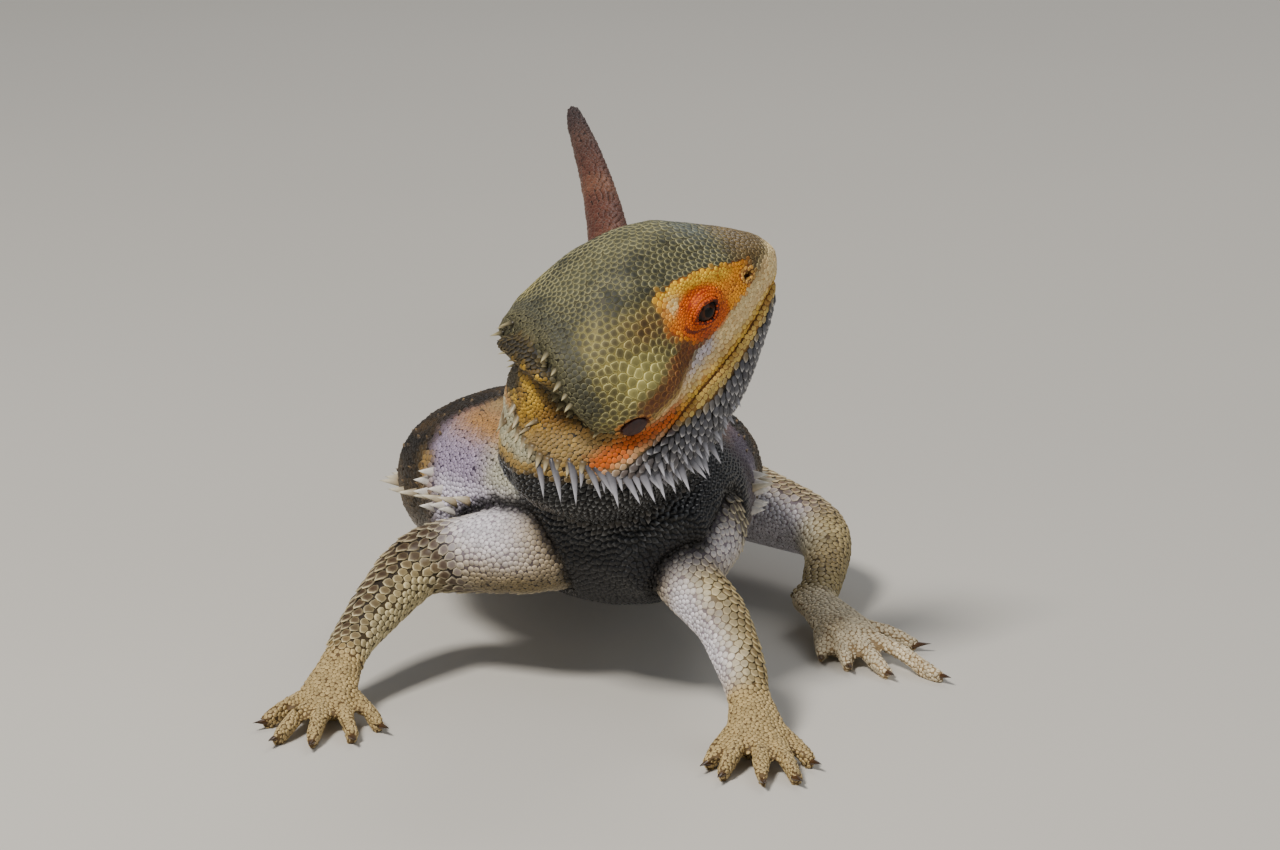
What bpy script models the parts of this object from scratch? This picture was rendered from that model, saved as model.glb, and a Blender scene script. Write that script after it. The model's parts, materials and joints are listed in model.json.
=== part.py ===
"""Eastern bearded dragon (Pogona barbata), a still, life-size model.

The animal faces -Y, with +Z up and its left side towards +X. It stands on its four
feet, raises its head and turns it far to the left, holds the beard half spread and
carries the tail clear of the floor. The body is modelled as one closed skin; spines
and claws are joined to it, and thin cuts part it into the pieces a person would name.
Sizes in the tables are millimetres; mm() and sections() turn them into metres.
"""

import math

import bmesh
import bpy
from mathutils import Matrix, Vector
from mathutils.bvhtree import BVHTree

MM = 0.001
UP = Vector((0.0, 0.0, 1.0))

# Skin
VOXEL = 0.80 * MM  # grid that melts limbs, head and trunk into one skin
SKIN_SMOOTHING = 3
SKIN_TRIANGLES = 2600
FLOOR_DEPTH = 8 * MM  # block below the floor that trims the soles level
SOLE_SINK = 1.1 * MM  # depth of sole trimmed away to make each flat

# Cuts between neighbouring pieces
CUT_GAP = 0.32 * MM
ZONE_MARGIN = 1.2 * MM  # how far a cutting zone stands off the skin of the limb or head it frees
ZONE_VOXEL = 1.6 * MM
ZONE_TRIANGLES = 260
LIMB_ZONE_TRIANGLES = 200
SHEET_HALF_WIDTH = 45 * MM
CRUMB_VOLUME = (2.0 * MM) ** 3  # slivers smaller than this are dropped

# Head frame: snout tip, direction of the snout and direction of the crown
SNOUT = Vector((27.0, -5.0, 91.5)) * MM
SNOUT_HEADING = Vector((0.862, 0.378, 0.337))
CROWN_HEADING = Vector((-0.222, -0.319, 0.921))
SIDES = {"left": -1, "right": 1}

# Brow ridge from the nostril to the temple: (forward, up, sideways, radius), millimetres
BROW = ((-5, 3.8, 4.6, 1.6), (-12, 7.4, 7.0, 2.3), (-20, 9.8, 9.2, 2.9), (-27, 11.0, 10.4, 3.0),
        (-35, 9.5, 12.0, 2.6))

# Eyes, ears and nostrils, head frame (forward, up, sideways), millimetres
EYE_RADIUS = 3.7 * MM
EYE_SEAT = (-22.7, 4.0, 11.4)
LID_SEAT = (-22.7, 3.8, 9.8)
LID_RADII = (6.6, 5.6, 5.0)
EYE_GAP = 0.4 * MM
EAR_SEAT = (-45.2, -9.8, 20.8)
EAR_PIT = (3.4, 2.3, 3.4)
EAR_DRUM = (2.9, 1.8, 0.6)
NOSTRIL_SEAT = (-9.6, 4.2, 8.2)
NOSTRIL_RADIUS = 0.8 * MM

# Spines and claws
SPINE_SIDES = 3
CLAW_SIDES = 4
CLAW_LENGTH = 5.7 * MM  # of which CLAW_ROOT lies inside the digit
CLAW_ROOT = 1.2 * MM
CLAW_RADIUS = 1.0 * MM


def mm(x, y, z):
    """A point given in millimetres, in metres."""
    return Vector((x, y, z)) * MM


# ------------------------------------------------------------------ head frame


def head_axes():
    """Unit vectors of the head: forward, up and right."""
    forward = SNOUT_HEADING.normalized()
    right = forward.cross(CROWN_HEADING).normalized()
    return forward, right.cross(forward).normalized(), right


def head_point(forward, up, right=0.0):
    """A point given in millimetres in the head frame, in the body's frame."""
    axes = head_axes()
    return SNOUT + (axes[0] * forward + axes[1] * up + axes[2] * right) * MM


def head_seat(seat, side):
    """A (forward, up, sideways) seat on the left or the right of the head."""
    return head_point(seat[0], seat[1], seat[2] * SIDES[side])


# ------------------------------------------------------------------ lofting


def catmull_rom(rows, t):
    """Row at position t (0 to 1) of a smooth line through equally spaced rows."""
    spans = len(rows) - 1
    place = min(max(t, 0.0) * spans, spans - 1e-9)
    i = int(place)
    u = place - i
    quad = (rows[max(i - 1, 0)], rows[i], rows[i + 1], rows[min(i + 2, spans)])
    return [
        0.5 * (2 * b + (c - a) * u + (2 * a - 5 * b + 4 * c - d) * u * u
               + (3 * b - a - 3 * c + d) * u ** 3)
        for a, b, c, d in zip(*quad)
    ]


def section_point(angle, half_width, rise, drop, squareness):
    """Point of a rounded section with separate heights above and below its middle."""
    c, s = math.cos(angle), math.sin(angle)
    height = rise if s >= 0 else drop
    return (
        half_width * math.copysign(abs(c) ** (2 / squareness), c),
        height * math.copysign(abs(s) ** (2 / squareness), s),
    )


def loft(bm, stations, up, sides=20, rings=16, squareness=2.0):
    """Skins stations of (x, y, z, half width, rise, drop) in metres and closes the ends."""
    rows = [catmull_rom(stations, k / (rings - 1)) for k in range(rings)]
    loops = []
    for k, row in enumerate(rows):
        ahead = Vector(rows[min(k + 1, rings - 1)][:3])
        behind = Vector(rows[max(k - 1, 0)][:3])
        tangent = (ahead - behind).normalized()
        side = tangent.cross(up).normalized()
        top = side.cross(tangent).normalized()
        loop = []
        for j in range(sides):
            angle = 2 * math.pi * j / sides
            across, above = section_point(angle, *row[3:], squareness)
            loop.append(bm.verts.new(Vector(row[:3]) + side * across + top * above))
        loops.append(loop)
    for first, second in zip(loops, loops[1:]):
        for j in range(sides):
            n = (j + 1) % sides
            bm.faces.new((first[j], second[j], second[n], first[n]))
    bm.faces.new(loops[0])
    bm.faces.new(list(reversed(loops[-1])))


def sections(rows):
    """Stations in metres from rows of (x, y, z, half width, rise, drop) in millimetres."""
    return [[value * MM for value in row] for row in rows]


def head_sections(rows):
    """Stations in metres from rows of (forward, up, half width, rise, drop), head frame."""
    return [
        [*head_point(forward, up), *(size * MM for size in sizes)]
        for forward, up, *sizes in rows
    ]


def ball(bm, centre, radii, axes=None, detail=3):
    """An ellipsoid with the given radii in millimetres along three axes."""
    turn = Matrix(axes).transposed() if axes else Matrix.Identity(3)
    size = Matrix.Diagonal((*(radius * MM for radius in radii), 1))
    matrix = Matrix.Translation(centre) @ turn.to_4x4() @ size
    bmesh.ops.create_icosphere(bm, subdivisions=detail, radius=1, matrix=matrix)


# ------------------------------------------------------------------ body shapes


def add_trunk(bm):
    """Flattened trunk, bowed a little to the right, from the chest to the hips."""
    loft(
        bm,
        sections([
            (6, -22, 33, 9, 9, 9),
            (1, -8, 36, 21, 17, 18),
            (-5, 14, 36, 31, 20, 21),
            (-12, 38, 34, 39, 21, 22),
            (-13, 62, 30, 38, 19, 20),
            (-9, 86, 25, 27, 15, 15),
            (-6, 104, 22, 17, 12, 11),
            (-5, 124, 20, 12, 9.5, 8),
        ]),
        UP, sides=28, rings=22, squareness=2.2,
    )


def add_tail(bm):
    """Tail, raised a little more towards its blunt tip."""
    loft(
        bm,
        sections([
            (-5, 108, 21, 14, 10.5, 10),
            (-5, 145, 19, 10, 9, 8.5),
            (-5.5, 185, 20, 8.6, 8, 7.6),
            (-6, 230, 25, 7.2, 6.8, 6.6),
            (-7.5, 280, 32, 5.9, 5.6, 5.5),
            (-12, 330, 41, 4.4, 4.2, 4.2),
            (-17.5, 366, 49, 3.0, 2.9, 2.9),
            (-18.8, 376, 51.2, 1.4, 1.4, 1.4),
        ]),
        UP, sides=16, rings=30,
    )


def add_neck(bm):
    """Short thick neck rising forwards from between the shoulders to the skull."""
    loft(
        bm,
        sections([
            (-5, 18, 40, 23, 15, 15),
            (-8, 5, 48, 20.5, 14, 14),
            (-10.5, -7, 57, 17.5, 13, 13),
            (-12.5, -17, 66, 15.5, 12, 12),
            (-10, -22, 72, 14, 10, 10),
        ]),
        UP + Vector((0.0, 0.3, 0.0)), sides=24, rings=14,
    )


def add_head(bm):
    """Wedge-shaped skull with swollen temples, brow ridges and raised lids."""
    axes = head_axes()
    loft(
        bm,
        head_sections([
            (0.6, 0.8, 2.4, 2.0, 2.0),
            (-2, 1.0, 5.6, 5.3, 3.9),
            (-8, 1.0, 8.6, 9.9, 7.0),
            (-15, 0.8, 11.2, 14.2, 10.5),
            (-23, 0.6, 13.0, 18.6, 14.0),
            (-31, 0.0, 16.2, 19.6, 16.5),
            (-40, -1.0, 20.2, 17.2, 17.0),
            (-48, -2.5, 20.8, 13.9, 16.0),
            (-55, -5.5, 15.5, 12.5, 12.5),
        ]),
        axes[1], sides=28, rings=26, squareness=2.35,
    )
    for side, sign in SIDES.items():
        ball(bm, head_point(-42, -4.0, 12.4 * sign), (13.0, 9.5, 9.8), axes)
        ball(bm, head_seat(LID_SEAT, side), LID_RADII, axes)
        rows = [[*head_point(f, u, r * sign), *(size * MM,) * 3] for f, u, r, size in BROW]
        loft(bm, rows, axes[1], sides=12, rings=14)


def add_beard(bm):
    """Lower jaw and the half-spread throat pouch under it."""
    loft(
        bm,
        head_sections([
            (-2.5, -3.0, 4.6, 3, 2.6),
            (-9, -6.0, 8.4, 5, 7.4),
            (-18, -9.5, 12.2, 7, 13.0),
            (-29, -13.5, 16.6, 9, 17.0),
            (-40, -17.5, 20.0, 11, 18.0),
            (-50, -19.0, 20.0, 12, 17.0),
            (-58, -16.5, 14.5, 10, 13.0),
            (-63, -11.5, 7.0, 6, 5.0),
        ]),
        head_axes()[1], sides=24, rings=20, squareness=2.2,
    )


# Each limb: stations of (x, y, z, half width, half height) from inside the trunk outwards.
LIMBS = {
    "arm_right": (
        (-10, -1, 31, 9, 9), (-22, -3, 29.5, 10.4, 9.6), (-34.5, 2, 27, 9.0, 8.6), (-45, 5, 24.5, 7.4, 7.2),
        (-51.5, -2, 20, 6.7, 6.2), (-57.5, -12, 14.5, 5.3, 4.8), (-61, -19, 10, 4.9, 3.8),
    ),
    "arm_left": (
        (10, 4, 38, 9, 9), (13, -4, 34, 9.4, 9), (11, -12, 30, 8.0, 7.8), (10, -18, 26.5, 7.2, 7.0),
        (16.6, -26.5, 20.5, 6.1, 6.2), (20.2, -37, 14, 5.3, 5.0), (21.8, -44, 9.5, 5.0, 3.9),
    ),
    "leg_left": (
        (2, 104, 20, 11, 9.5), (13.5, 94, 18.2, 10.2, 9.3), (27.5, 80, 16, 8.8, 8.6),
        (38.5, 68, 14.4, 6.9, 6.9), (41, 58, 12.4, 5.7, 5.8), (39.5, 46, 8.8, 4.8, 4.7),
        (38, 37, 6.2, 4.5, 3.9),
    ),
    "leg_right": (
        (-12, 104, 20, 11, 9.5), (-22, 98, 21, 10.2, 9.3), (-34, 90, 22.5, 8.6, 8.6), (-43, 86, 22, 6.9, 6.9),
        (-44, 95, 17, 5.7, 5.8), (-41, 106, 10.5, 4.8, 4.7), (-38.5, 113, 6.4, 4.5, 3.9),
    ),
}

# Each paw: wrist and knuckles, palm half width, and digits from the first to the fifth as
# (root along the knuckles from -1 to 1, heading in degrees from -Y towards +X, length).
PAWS = {
    "hand_left": {
        "wrist": (21.8, -44, 9.5), "knuckle": (23.5, -55, 4.8), "half": 6.2,
        "digits": ((-1, -26, 12), (-0.55, -16, 17), (0, 2, 20), (0.5, 16, 20), (1, 32, 13)),
    },
    "hand_right": {
        "wrist": (-61, -19, 10), "knuckle": (-64, -30, 4.8), "half": 6.2,
        "digits": ((1, 32, 12), (0.55, 12, 17), (0, -6, 20), (-0.5, -22, 20), (-1, -44, 13)),
    },
    "foot_left": {
        "wrist": (38, 37, 6.2), "knuckle": (44.5, 18, 5.0), "half": 6.4,
        "digits": ((-1, -2, 9), (-0.55, 10, 14), (0, 22, 21), (0.5, 36, 29), (1, 78, 12)),
    },
    "foot_right": {
        "wrist": (-38.5, 113, 6.4), "knuckle": (-42, 95, 5.0), "half": 6.2,
        "digits": ((1, 14, 9), (0.55, 4, 14), (0, -6, 21), (-0.5, -13, 27), (-1, -56, 12)),
    },
}
TIP_HEIGHT = 1.6  # centre height of a digit at its tip
PAD_START = 0.7  # share of the palm's length from which it rests on the floor


def add_limb(bm, limb, end=1.0, margin=0.0, rings=20):
    """One arm or leg, a tapering loft from inside the trunk as far as end (1: the wrist)."""
    rows = sections([(x, y, z, w, h, h) for x, y, z, w, h in LIMBS[limb]])
    rows = [catmull_rom(rows, end * k / (rings - 1)) for k in range(rings)]
    rows = [row[:3] + [size + margin for size in row[3:]] for row in rows]
    loft(bm, rows, UP + Vector((0.01, 0.02, 0.0)), sides=16, rings=rings)


def add_limbs(bm):
    """Both arms and both legs, down to the wrists and ankles."""
    for limb in LIMBS:
        add_limb(bm, limb)


def digit_path(paw, digit):
    """Root, arch, last joint and tip of a digit, millimetres, and its heading."""
    wrist, knuckle = Vector(paw["wrist"]), Vector(paw["knuckle"])
    share, heading, length = digit
    along = (knuckle - wrist).normalized()
    lateral = Vector((-along.y, along.x, 0)).normalized()
    if lateral.x < 0:
        lateral.negate()
    way = Vector((math.sin(math.radians(heading)), -math.cos(math.radians(heading)), 0))
    root = knuckle + lateral * (paw["half"] * 0.75 * share) - along * (1.5 + 3 * share * share)
    root.z = knuckle.z - 0.4
    arch = root + way * (length * 0.42)
    arch.z = knuckle.z * 0.78
    joint = root + way * (length * 0.8)
    joint.z = TIP_HEIGHT + 0.7
    tip = root + way * length
    tip.z = TIP_HEIGHT
    return (root, arch, joint, tip), way


def add_paws(bm):
    """Palms and soles with five digits each."""
    palm = ((-0.3, 0.75, 3.6), (0.15, 0.76, 3.3), (0.55, 0.93, 2.9), (0.9, 1.0, 2.6), (1.15, 0.8, 2.1))
    for paw in PAWS.values():
        wrist, knuckle = Vector(paw["wrist"]), Vector(paw["knuckle"])
        rows = []
        for t, share, height in palm:
            middle = wrist.lerp(knuckle, t)
            on_floor = t > PAD_START
            drop = middle.z + SOLE_SINK / MM if on_floor else height
            rows.append((*middle, paw["half"] * share, height, drop))
        loft(bm, sections(rows), UP, sides=16, rings=12)
        for digit in paw["digits"]:
            points, _ = digit_path(paw, digit)
            sizes = ((2.2, 2.1), (1.9, 1.8), (1.75, 1.6), (1.25, 1.2))
            rows = [(*p, w, h, TIP_HEIGHT + SOLE_SINK / MM if i > 1 else h)
                    for i, (p, (w, h)) in enumerate(zip(points, sizes))]
            loft(bm, sections(rows), UP, sides=10, rings=10)


# ------------------------------------------------------------------ spines and claws


def spike(bm, base, direction, length, radius, sides):
    """A sharp cone whose base is sunk a little below the skin."""
    direction = direction.normalized()
    sink = radius * 0.9
    turn = direction.to_track_quat("Z", "Y").to_matrix().to_4x4()
    middle = base + direction * (length - sink) / 2
    bmesh.ops.create_cone(
        bm, cap_ends=True, segments=sides, radius1=radius, radius2=0,
        depth=length + sink, matrix=Matrix.Translation(middle) @ turn,
    )


def spine_row(skin, node, others, row):
    """Joins to a node the spines of a row on the skin that spring from it and reach no other."""
    graph = bpy.context.evaluated_depsgraph_get()
    graph.update()
    surface = BVHTree.FromObject(node, graph)
    walls = [BVHTree.FromObject(other, graph) for other in others if other is not node]
    bm = bmesh.new()
    for k in range(row["count"]):
        place = Vector(catmull_rom([tuple(p) for p in row["guide"]], k / (row["count"] - 1)))
        spot, normal, _, _ = skin.find_nearest(place)
        if not surface.find_nearest(spot, CUT_GAP)[0]:
            continue
        length = row["length"] * (0.82 + 0.18 * math.cos(2.3 * k))
        direction = (normal + row["sweep"]).normalized()
        steps = [spot + direction * length * share for share in (-0.15, 0.0, 0.3, 0.6, 1.0)]
        room = row["radius"] + CUT_GAP * 1.5
        if any(wall.find_nearest(step, room)[0] for wall in walls for step in steps):
            continue
        spike(bm, spot, direction, length, row["radius"], SPINE_SIDES)
    if bm.verts:
        boolean(node, make_object("spines", bm, helper=True), "UNION")
    else:
        bm.free()


def head_fringes():
    """Rows of spines on the beard and along the rear edge of the temples."""
    forward, up, right = head_axes()
    rows = []
    for sign in SIDES.values():
        rows.append({
            "node": "beard", "count": 11, "length": 5.5 * MM, "radius": 1.1 * MM,
            "guide": [head_point(f, u, s * sign) for f, u, s in (
                (-16, -15, 10), (-28, -18.5, 16), (-40, -22.5, 20), (-51, -24, 20), (-59, -22, 14))],
            "sweep": -forward * 0.6 - up * 0.9 + right * sign * 0.5,
        })
        rows.append({
            "node": "head", "count": 6, "length": 2.6 * MM, "radius": 0.9 * MM,
            "guide": [head_point(f, u, s * sign) for f, u, s in (
                (-56, -3, 18), (-56, 4, 16), (-55, 9, 10), (-54, 11, 4))],
            "sweep": -forward * 1.2,
        })
    return rows


def flank_fringes():
    """Rows of spines along both flanks, on the front and on the rear of the trunk."""
    rows = []
    for flank in FLANKS:
        for node in ("trunk_front", "trunk_rear"):
            rows.append({
                "node": node, "count": flank["count"], "length": 5.0 * MM, "radius": 1.1 * MM,
                "guide": [mm(*point) for point in flank["guide"]],
                "sweep": Vector(flank["sweep"]),
            })
    return rows


FLANKS = (
    {"guide": ((-36, 4, 38), (-45, 16, 35), (-52, 38, 32), (-51, 62, 29), (-40, 84, 26)),
     "count": 15, "sweep": (-0.6, 0.5, 0.2)},
    {"guide": ((24, 14, 38), (27, 30, 34), (27, 48, 31), (24, 66, 28), (17, 84, 25)),
     "count": 13, "sweep": (0.6, 0.5, 0.2)},
)


def add_claws(paw, node):
    """A claw, one tapering down-turned spike, on the end of every digit of a paw."""
    bm = bmesh.new()
    for digit in paw["digits"]:
        points, way = digit_path(paw, digit)
        base = points[-1] * MM - way * CLAW_ROOT
        spike(bm, base, way - UP * 0.1, CLAW_LENGTH, CLAW_RADIUS, CLAW_SIDES)
    boolean(node, make_object("claws", bm, helper=True), "UNION")


# ------------------------------------------------------------------ object helpers


def clear_scene():
    """Removes every object of the scene."""
    for obj in list(bpy.data.objects):
        bpy.data.objects.remove(obj)


def make_object(name, bm, helper=False):
    """An object from a bmesh; a helper is shown as wire and not rendered."""
    mesh = bpy.data.meshes.new(name)
    bmesh.ops.recalc_face_normals(bm, faces=bm.faces)
    bm.to_mesh(mesh)
    bm.free()
    obj = bpy.data.objects.new(name, mesh)
    bpy.context.scene.collection.objects.link(obj)
    if helper:
        obj.hide_render = True
        obj.display_type = "WIRE"
    return obj


def copy_object(obj, name):
    """A second object with its own copy of the mesh."""
    twin = bpy.data.objects.new(name, obj.data.copy())
    bpy.context.scene.collection.objects.link(twin)
    return twin


def bake_modifiers(obj):
    """Replaces the object's mesh by what its modifiers make of it."""
    graph = bpy.context.evaluated_depsgraph_get()
    graph.update()
    mesh = bpy.data.meshes.new_from_object(obj.evaluated_get(graph))
    obj.modifiers.clear()
    obj.data = mesh


def boolean(obj, other, operation):
    """Joins or cuts obj with the helper other, and removes the helper."""
    step = obj.modifiers.new(operation.lower(), "BOOLEAN")
    step.operation = operation
    step.solver = "EXACT"
    step.object = other
    bake_modifiers(obj)
    bpy.data.objects.remove(other)


def melted(name, adders, voxel, triangles):
    """The given shapes melted into one closed skin and thinned to a number of triangles."""
    bm = bmesh.new()
    for add in adders:
        add(bm)
    obj = make_object(name, bm)
    melt = obj.modifiers.new("melt", "REMESH")
    melt.mode = "VOXEL"
    melt.voxel_size = voxel
    obj.modifiers.new("smooth", "SMOOTH").iterations = SKIN_SMOOTHING
    bake_modifiers(obj)
    obj.modifiers.new("thin", "DECIMATE").ratio = triangles / (2 * len(obj.data.polygons))
    bake_modifiers(obj)
    return obj


# ------------------------------------------------------------------ parting


def swollen(obj, name, distance):
    """A copy of a closed object with its surface moved outwards."""
    twin = copy_object(obj, name)
    bm = bmesh.new()
    bm.from_mesh(twin.data)
    bm.normal_update()
    moves = [(v, v.normal * distance * min(v.calc_shell_factor(), 2.0)) for v in bm.verts]
    for vert, move in moves:
        vert.co += move
    bm.to_mesh(twin.data)
    bm.free()
    return twin


def carve(body, zone, name):
    """Frees the part of body inside zone as its own object, with a gap all round."""
    piece = copy_object(body, name)
    outer = swollen(zone, "zone_outer", CUT_GAP)
    boolean(piece, zone, "INTERSECT")
    boolean(body, outer, "DIFFERENCE")
    return keep_largest(piece)


def sheet(profile):
    """A thin folded sheet across the head, from a line of (forward, up) points."""
    right = head_axes()[2]
    points = [Vector(p) for p in profile]
    offsets = []
    for i in range(len(points)):
        run = (points[min(i + 1, len(points) - 1)] - points[max(i - 1, 0)]).normalized()
        offsets.append(Vector((-run.y, run.x)) * (CUT_GAP / MM / 2))
    ring = [p + o for p, o in zip(points, offsets)]
    ring += [p - o for p, o in reversed(list(zip(points, offsets)))]
    bm = bmesh.new()
    ends = []
    for sign in (-1, 1):
        shift = right * SHEET_HALF_WIDTH * sign
        ends.append([bm.verts.new(head_point(p.x, p.y) + shift) for p in ring])
    count = len(ring)
    for i in range(count):
        n = (i + 1) % count
        bm.faces.new((ends[0][i], ends[0][n], ends[1][n], ends[1][i]))
    for end in ends:
        for i in range(len(points) - 1):
            bm.faces.new((end[i], end[i + 1], end[count - 2 - i], end[count - 1 - i]))
    return make_object("sheet", bm, helper=True)


def disc(centre, normal, radius):
    """A thin round sheet."""
    bm = bmesh.new()
    turn = Vector(normal).to_track_quat("Z", "Y").to_matrix().to_4x4()
    bmesh.ops.create_cone(
        bm, cap_ends=True, segments=24, radius1=radius, radius2=radius,
        depth=CUT_GAP, matrix=Matrix.Translation(centre) @ turn,
    )
    return make_object("disc", bm, helper=True)


def mesh_islands(mesh):
    """Lists of face indices, one for each loose piece of a mesh."""
    parent = list(range(len(mesh.vertices)))

    def root(a):
        while parent[a] != a:
            parent[a] = parent[parent[a]]
            a = parent[a]
        return a

    for edge in mesh.edges:
        parent[root(edge.vertices[0])] = root(edge.vertices[1])
    groups = {}
    for face in mesh.polygons:
        groups.setdefault(root(face.vertices[0]), []).append(face.index)
    return list(groups.values())


def loose_parts(obj):
    """(volume, centre, object) of each loose piece, largest first; obj is removed."""
    parts = []
    mesh = obj.data
    for faces in mesh_islands(mesh):
        bm = bmesh.new()
        bm.from_mesh(mesh)
        kept = set(faces)
        others = [face for face in bm.faces if face.index not in kept]
        bmesh.ops.delete(bm, geom=others, context="FACES")
        bmesh.ops.delete(bm, geom=[v for v in bm.verts if not v.link_faces], context="VERTS")
        volume = abs(bm.calc_volume())
        if volume < CRUMB_VOLUME:
            bm.free()
            continue
        centre = sum((v.co for v in bm.verts), Vector()) / len(bm.verts)
        parts.append((volume, centre, make_object("loose", bm)))
    bpy.data.objects.remove(obj)
    return sorted(parts, key=lambda part: -part[0])


def keep_largest(obj):
    """The largest loose piece of obj, under obj's name."""
    name = obj.name
    parts = loose_parts(obj)
    for _, _, extra in parts[1:]:
        bpy.data.objects.remove(extra)
    parts[0][2].name = name
    return parts[0][2]


def name_parts(obj, places):
    """Splits obj into its loose pieces and names each after the nearest place."""
    named = {}
    for _, centre, piece in loose_parts(obj):
        free = [name for name in places if name not in named]
        if not free:
            bpy.data.objects.remove(piece)
            continue
        name = min(free, key=lambda n: (mm(*places[n]) - centre).length)
        piece.name = name
        named[name] = piece
    return named


MOUTH_LINE = ((8, -1.6), (-2, -2.0), (-7, -3.6), (-14, -7.0), (-21, -9.6), (-33, -12.8),
              (-42, -16.0), (-56, -20.0), (-80, -30.0))
JAW_LINE = ((8, -8.6), (-8, -9.6), (-14, -12.2), (-21, -14.8), (-31, -17.6), (-43, -20.2),
            (-56, -22.6), (-68, -24.6))
SPINE_CUTS = (
    ((-9, -2, 50), (-0.1, -0.35, 0.93), 40),  # neck from trunk
    ((-13, 44, 34), (-0.12, 0.98, -0.1), 60),  # front from rear of trunk
    ((-7, 95, 24), (0.1, 0.99, -0.1), 40),  # trunk from hips
    ((-5, 128, 20), (0.0, 1.0, 0.0), 30),  # hips from tail
    ((-5.8, 215, 23), (0.0, 0.99, 0.1), 20),
    ((-9, 300, 36), (-0.06, 0.97, 0.2), 20),
)
SPINE_NODES = {
    "neck": (-11, -8, 56), "trunk_front": (-5, 15, 36), "trunk_rear": (-12, 66, 30),
    "hips": (-6, 112, 22), "tail_base": (-5, 165, 20), "tail_middle": (-7, 255, 30),
    "tail_tip": (-14, 340, 44),
}
LIMB_PARTS = {
    "arm_right": ("upper_arm_right", "forearm_right", "hand_right"),
    "arm_left": ("upper_arm_left", "forearm_left", "hand_left"),
    "leg_left": ("thigh_left", "shank_left", "foot_left"),
    "leg_right": ("thigh_right", "shank_right", "foot_right"),
}
ELBOW, WRIST = 0.54, 0.97  # shares of a limb's length
FOLDED_ANKLE = {"leg_right": ((-40, 104, 8.8), (0.0, 0.12, 1.0))}  # foot lies under the shank


def part_limbs(body):
    """Frees the upper arms and thighs, then parts forearms and shanks from the paws."""
    nodes = {}
    for limb, (upper, _, _) in LIMB_PARTS.items():
        zone = melted(
            "zone", (lambda bm, limb=limb: add_limb(bm, limb, ELBOW, ZONE_MARGIN),),
            ZONE_VOXEL, LIMB_ZONE_TRIANGLES)
        nodes[upper] = carve(body, zone, upper)
    places = {"axis": (-8, 60, 30)}
    for limb in LIMBS:
        places[limb] = LIMBS[limb][-2][:3]
    loose = name_parts(body, places)
    for limb, (_, lower, paw) in LIMB_PARTS.items():
        rows = sections(LIMBS[limb])
        here, ahead = Vector(catmull_rom(rows, WRIST)[:3]), Vector(catmull_rom(rows, 1.0)[:3])
        normal, radius = ahead - here, 8 * MM
        if limb in FOLDED_ANKLE:
            here, normal, radius = mm(*FOLDED_ANKLE[limb][0]), FOLDED_ANKLE[limb][1], 18 * MM
        piece = loose[limb]
        boolean(piece, disc(here, normal, radius), "DIFFERENCE")
        nodes.update(name_parts(piece, {
            lower: catmull_rom(LIMBS[limb], 0.75)[:3], paw: PAWS[paw]["knuckle"]}))
    return nodes, loose["axis"]


def part_head(head):
    """Parts skull, lower jaw and beard along the mouth and under the jaw."""
    boolean(head, sheet(MOUTH_LINE), "DIFFERENCE")
    boolean(head, sheet(JAW_LINE), "DIFFERENCE")
    middles = {"head": (-35, 4), "lower_jaw": (-20, -9), "beard": (-42, -26)}
    return name_parts(head, {name: head_point(f, u) / MM for name, (f, u) in middles.items()})


def part_axis(axis):
    """Slices neck, trunk, hips and tail."""
    for centre, normal, radius in SPINE_CUTS:
        boolean(axis, disc(mm(*centre), normal, radius * MM), "DIFFERENCE")
    return name_parts(axis, SPINE_NODES)


# ------------------------------------------------------------------ eyes, ears, nostrils


def add_senses(head):
    """Hollows the sockets, ear pits and nostrils, and returns the eyes and eardrums."""
    axes = head_axes()
    nodes = {}
    hollow = bmesh.new()
    for side in SIDES:
        seat = head_seat(EYE_SEAT, side)
        ball(hollow, seat, ((EYE_RADIUS + EYE_GAP) / MM,) * 3, axes, detail=2)
        ball(hollow, head_seat(EAR_SEAT, side), EAR_PIT, axes, detail=2)
        ball(hollow, head_seat(NOSTRIL_SEAT, side), (NOSTRIL_RADIUS / MM,) * 3, axes, detail=1)
        bm = bmesh.new()
        ball(bm, seat, (EYE_RADIUS / MM,) * 3, axes)
        nodes[f"eye_{side}"] = make_object(f"eye_{side}", bm)
        bm = bmesh.new()
        drum = head_seat((EAR_SEAT[0], EAR_SEAT[1], EAR_SEAT[2] - 1.5), side)
        ball(bm, drum, EAR_DRUM, axes, detail=2)
        nodes[f"ear_{side}"] = make_object(f"ear_{side}", bm)
    boolean(head, make_object("hollows", hollow, helper=True), "DIFFERENCE")
    return nodes


# ------------------------------------------------------------------ finish

# Principled base colours and roughness of each kind of piece
FINISHES = {
    "crown": ((0.22, 0.22, 0.12), 0.45, ("head",)),
    "jaw": ((0.55, 0.47, 0.26), 0.5, ("lower_jaw",)),
    "beard": ((0.16, 0.16, 0.18), 0.4, ("beard",)),
    "neck": ((0.34, 0.26, 0.09), 0.6, ("neck",)),
    "back": ((0.15, 0.12, 0.08), 0.6, ("trunk_front", "trunk_rear", "hips")),
    "limb": ((0.42, 0.36, 0.24), 0.55, tuple(n for names in LIMB_PARTS.values() for n in names)),
    "tail": ((0.25, 0.14, 0.11), 0.6, ("tail_base", "tail_middle", "tail_tip")),
    "eye": ((0.02, 0.012, 0.008), 0.08, ("eye_left", "eye_right")),
    "ear": ((0.16, 0.05, 0.03), 0.4, ("ear_left", "ear_right")),
}
SHARP_ANGLE = math.radians(38)


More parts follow.
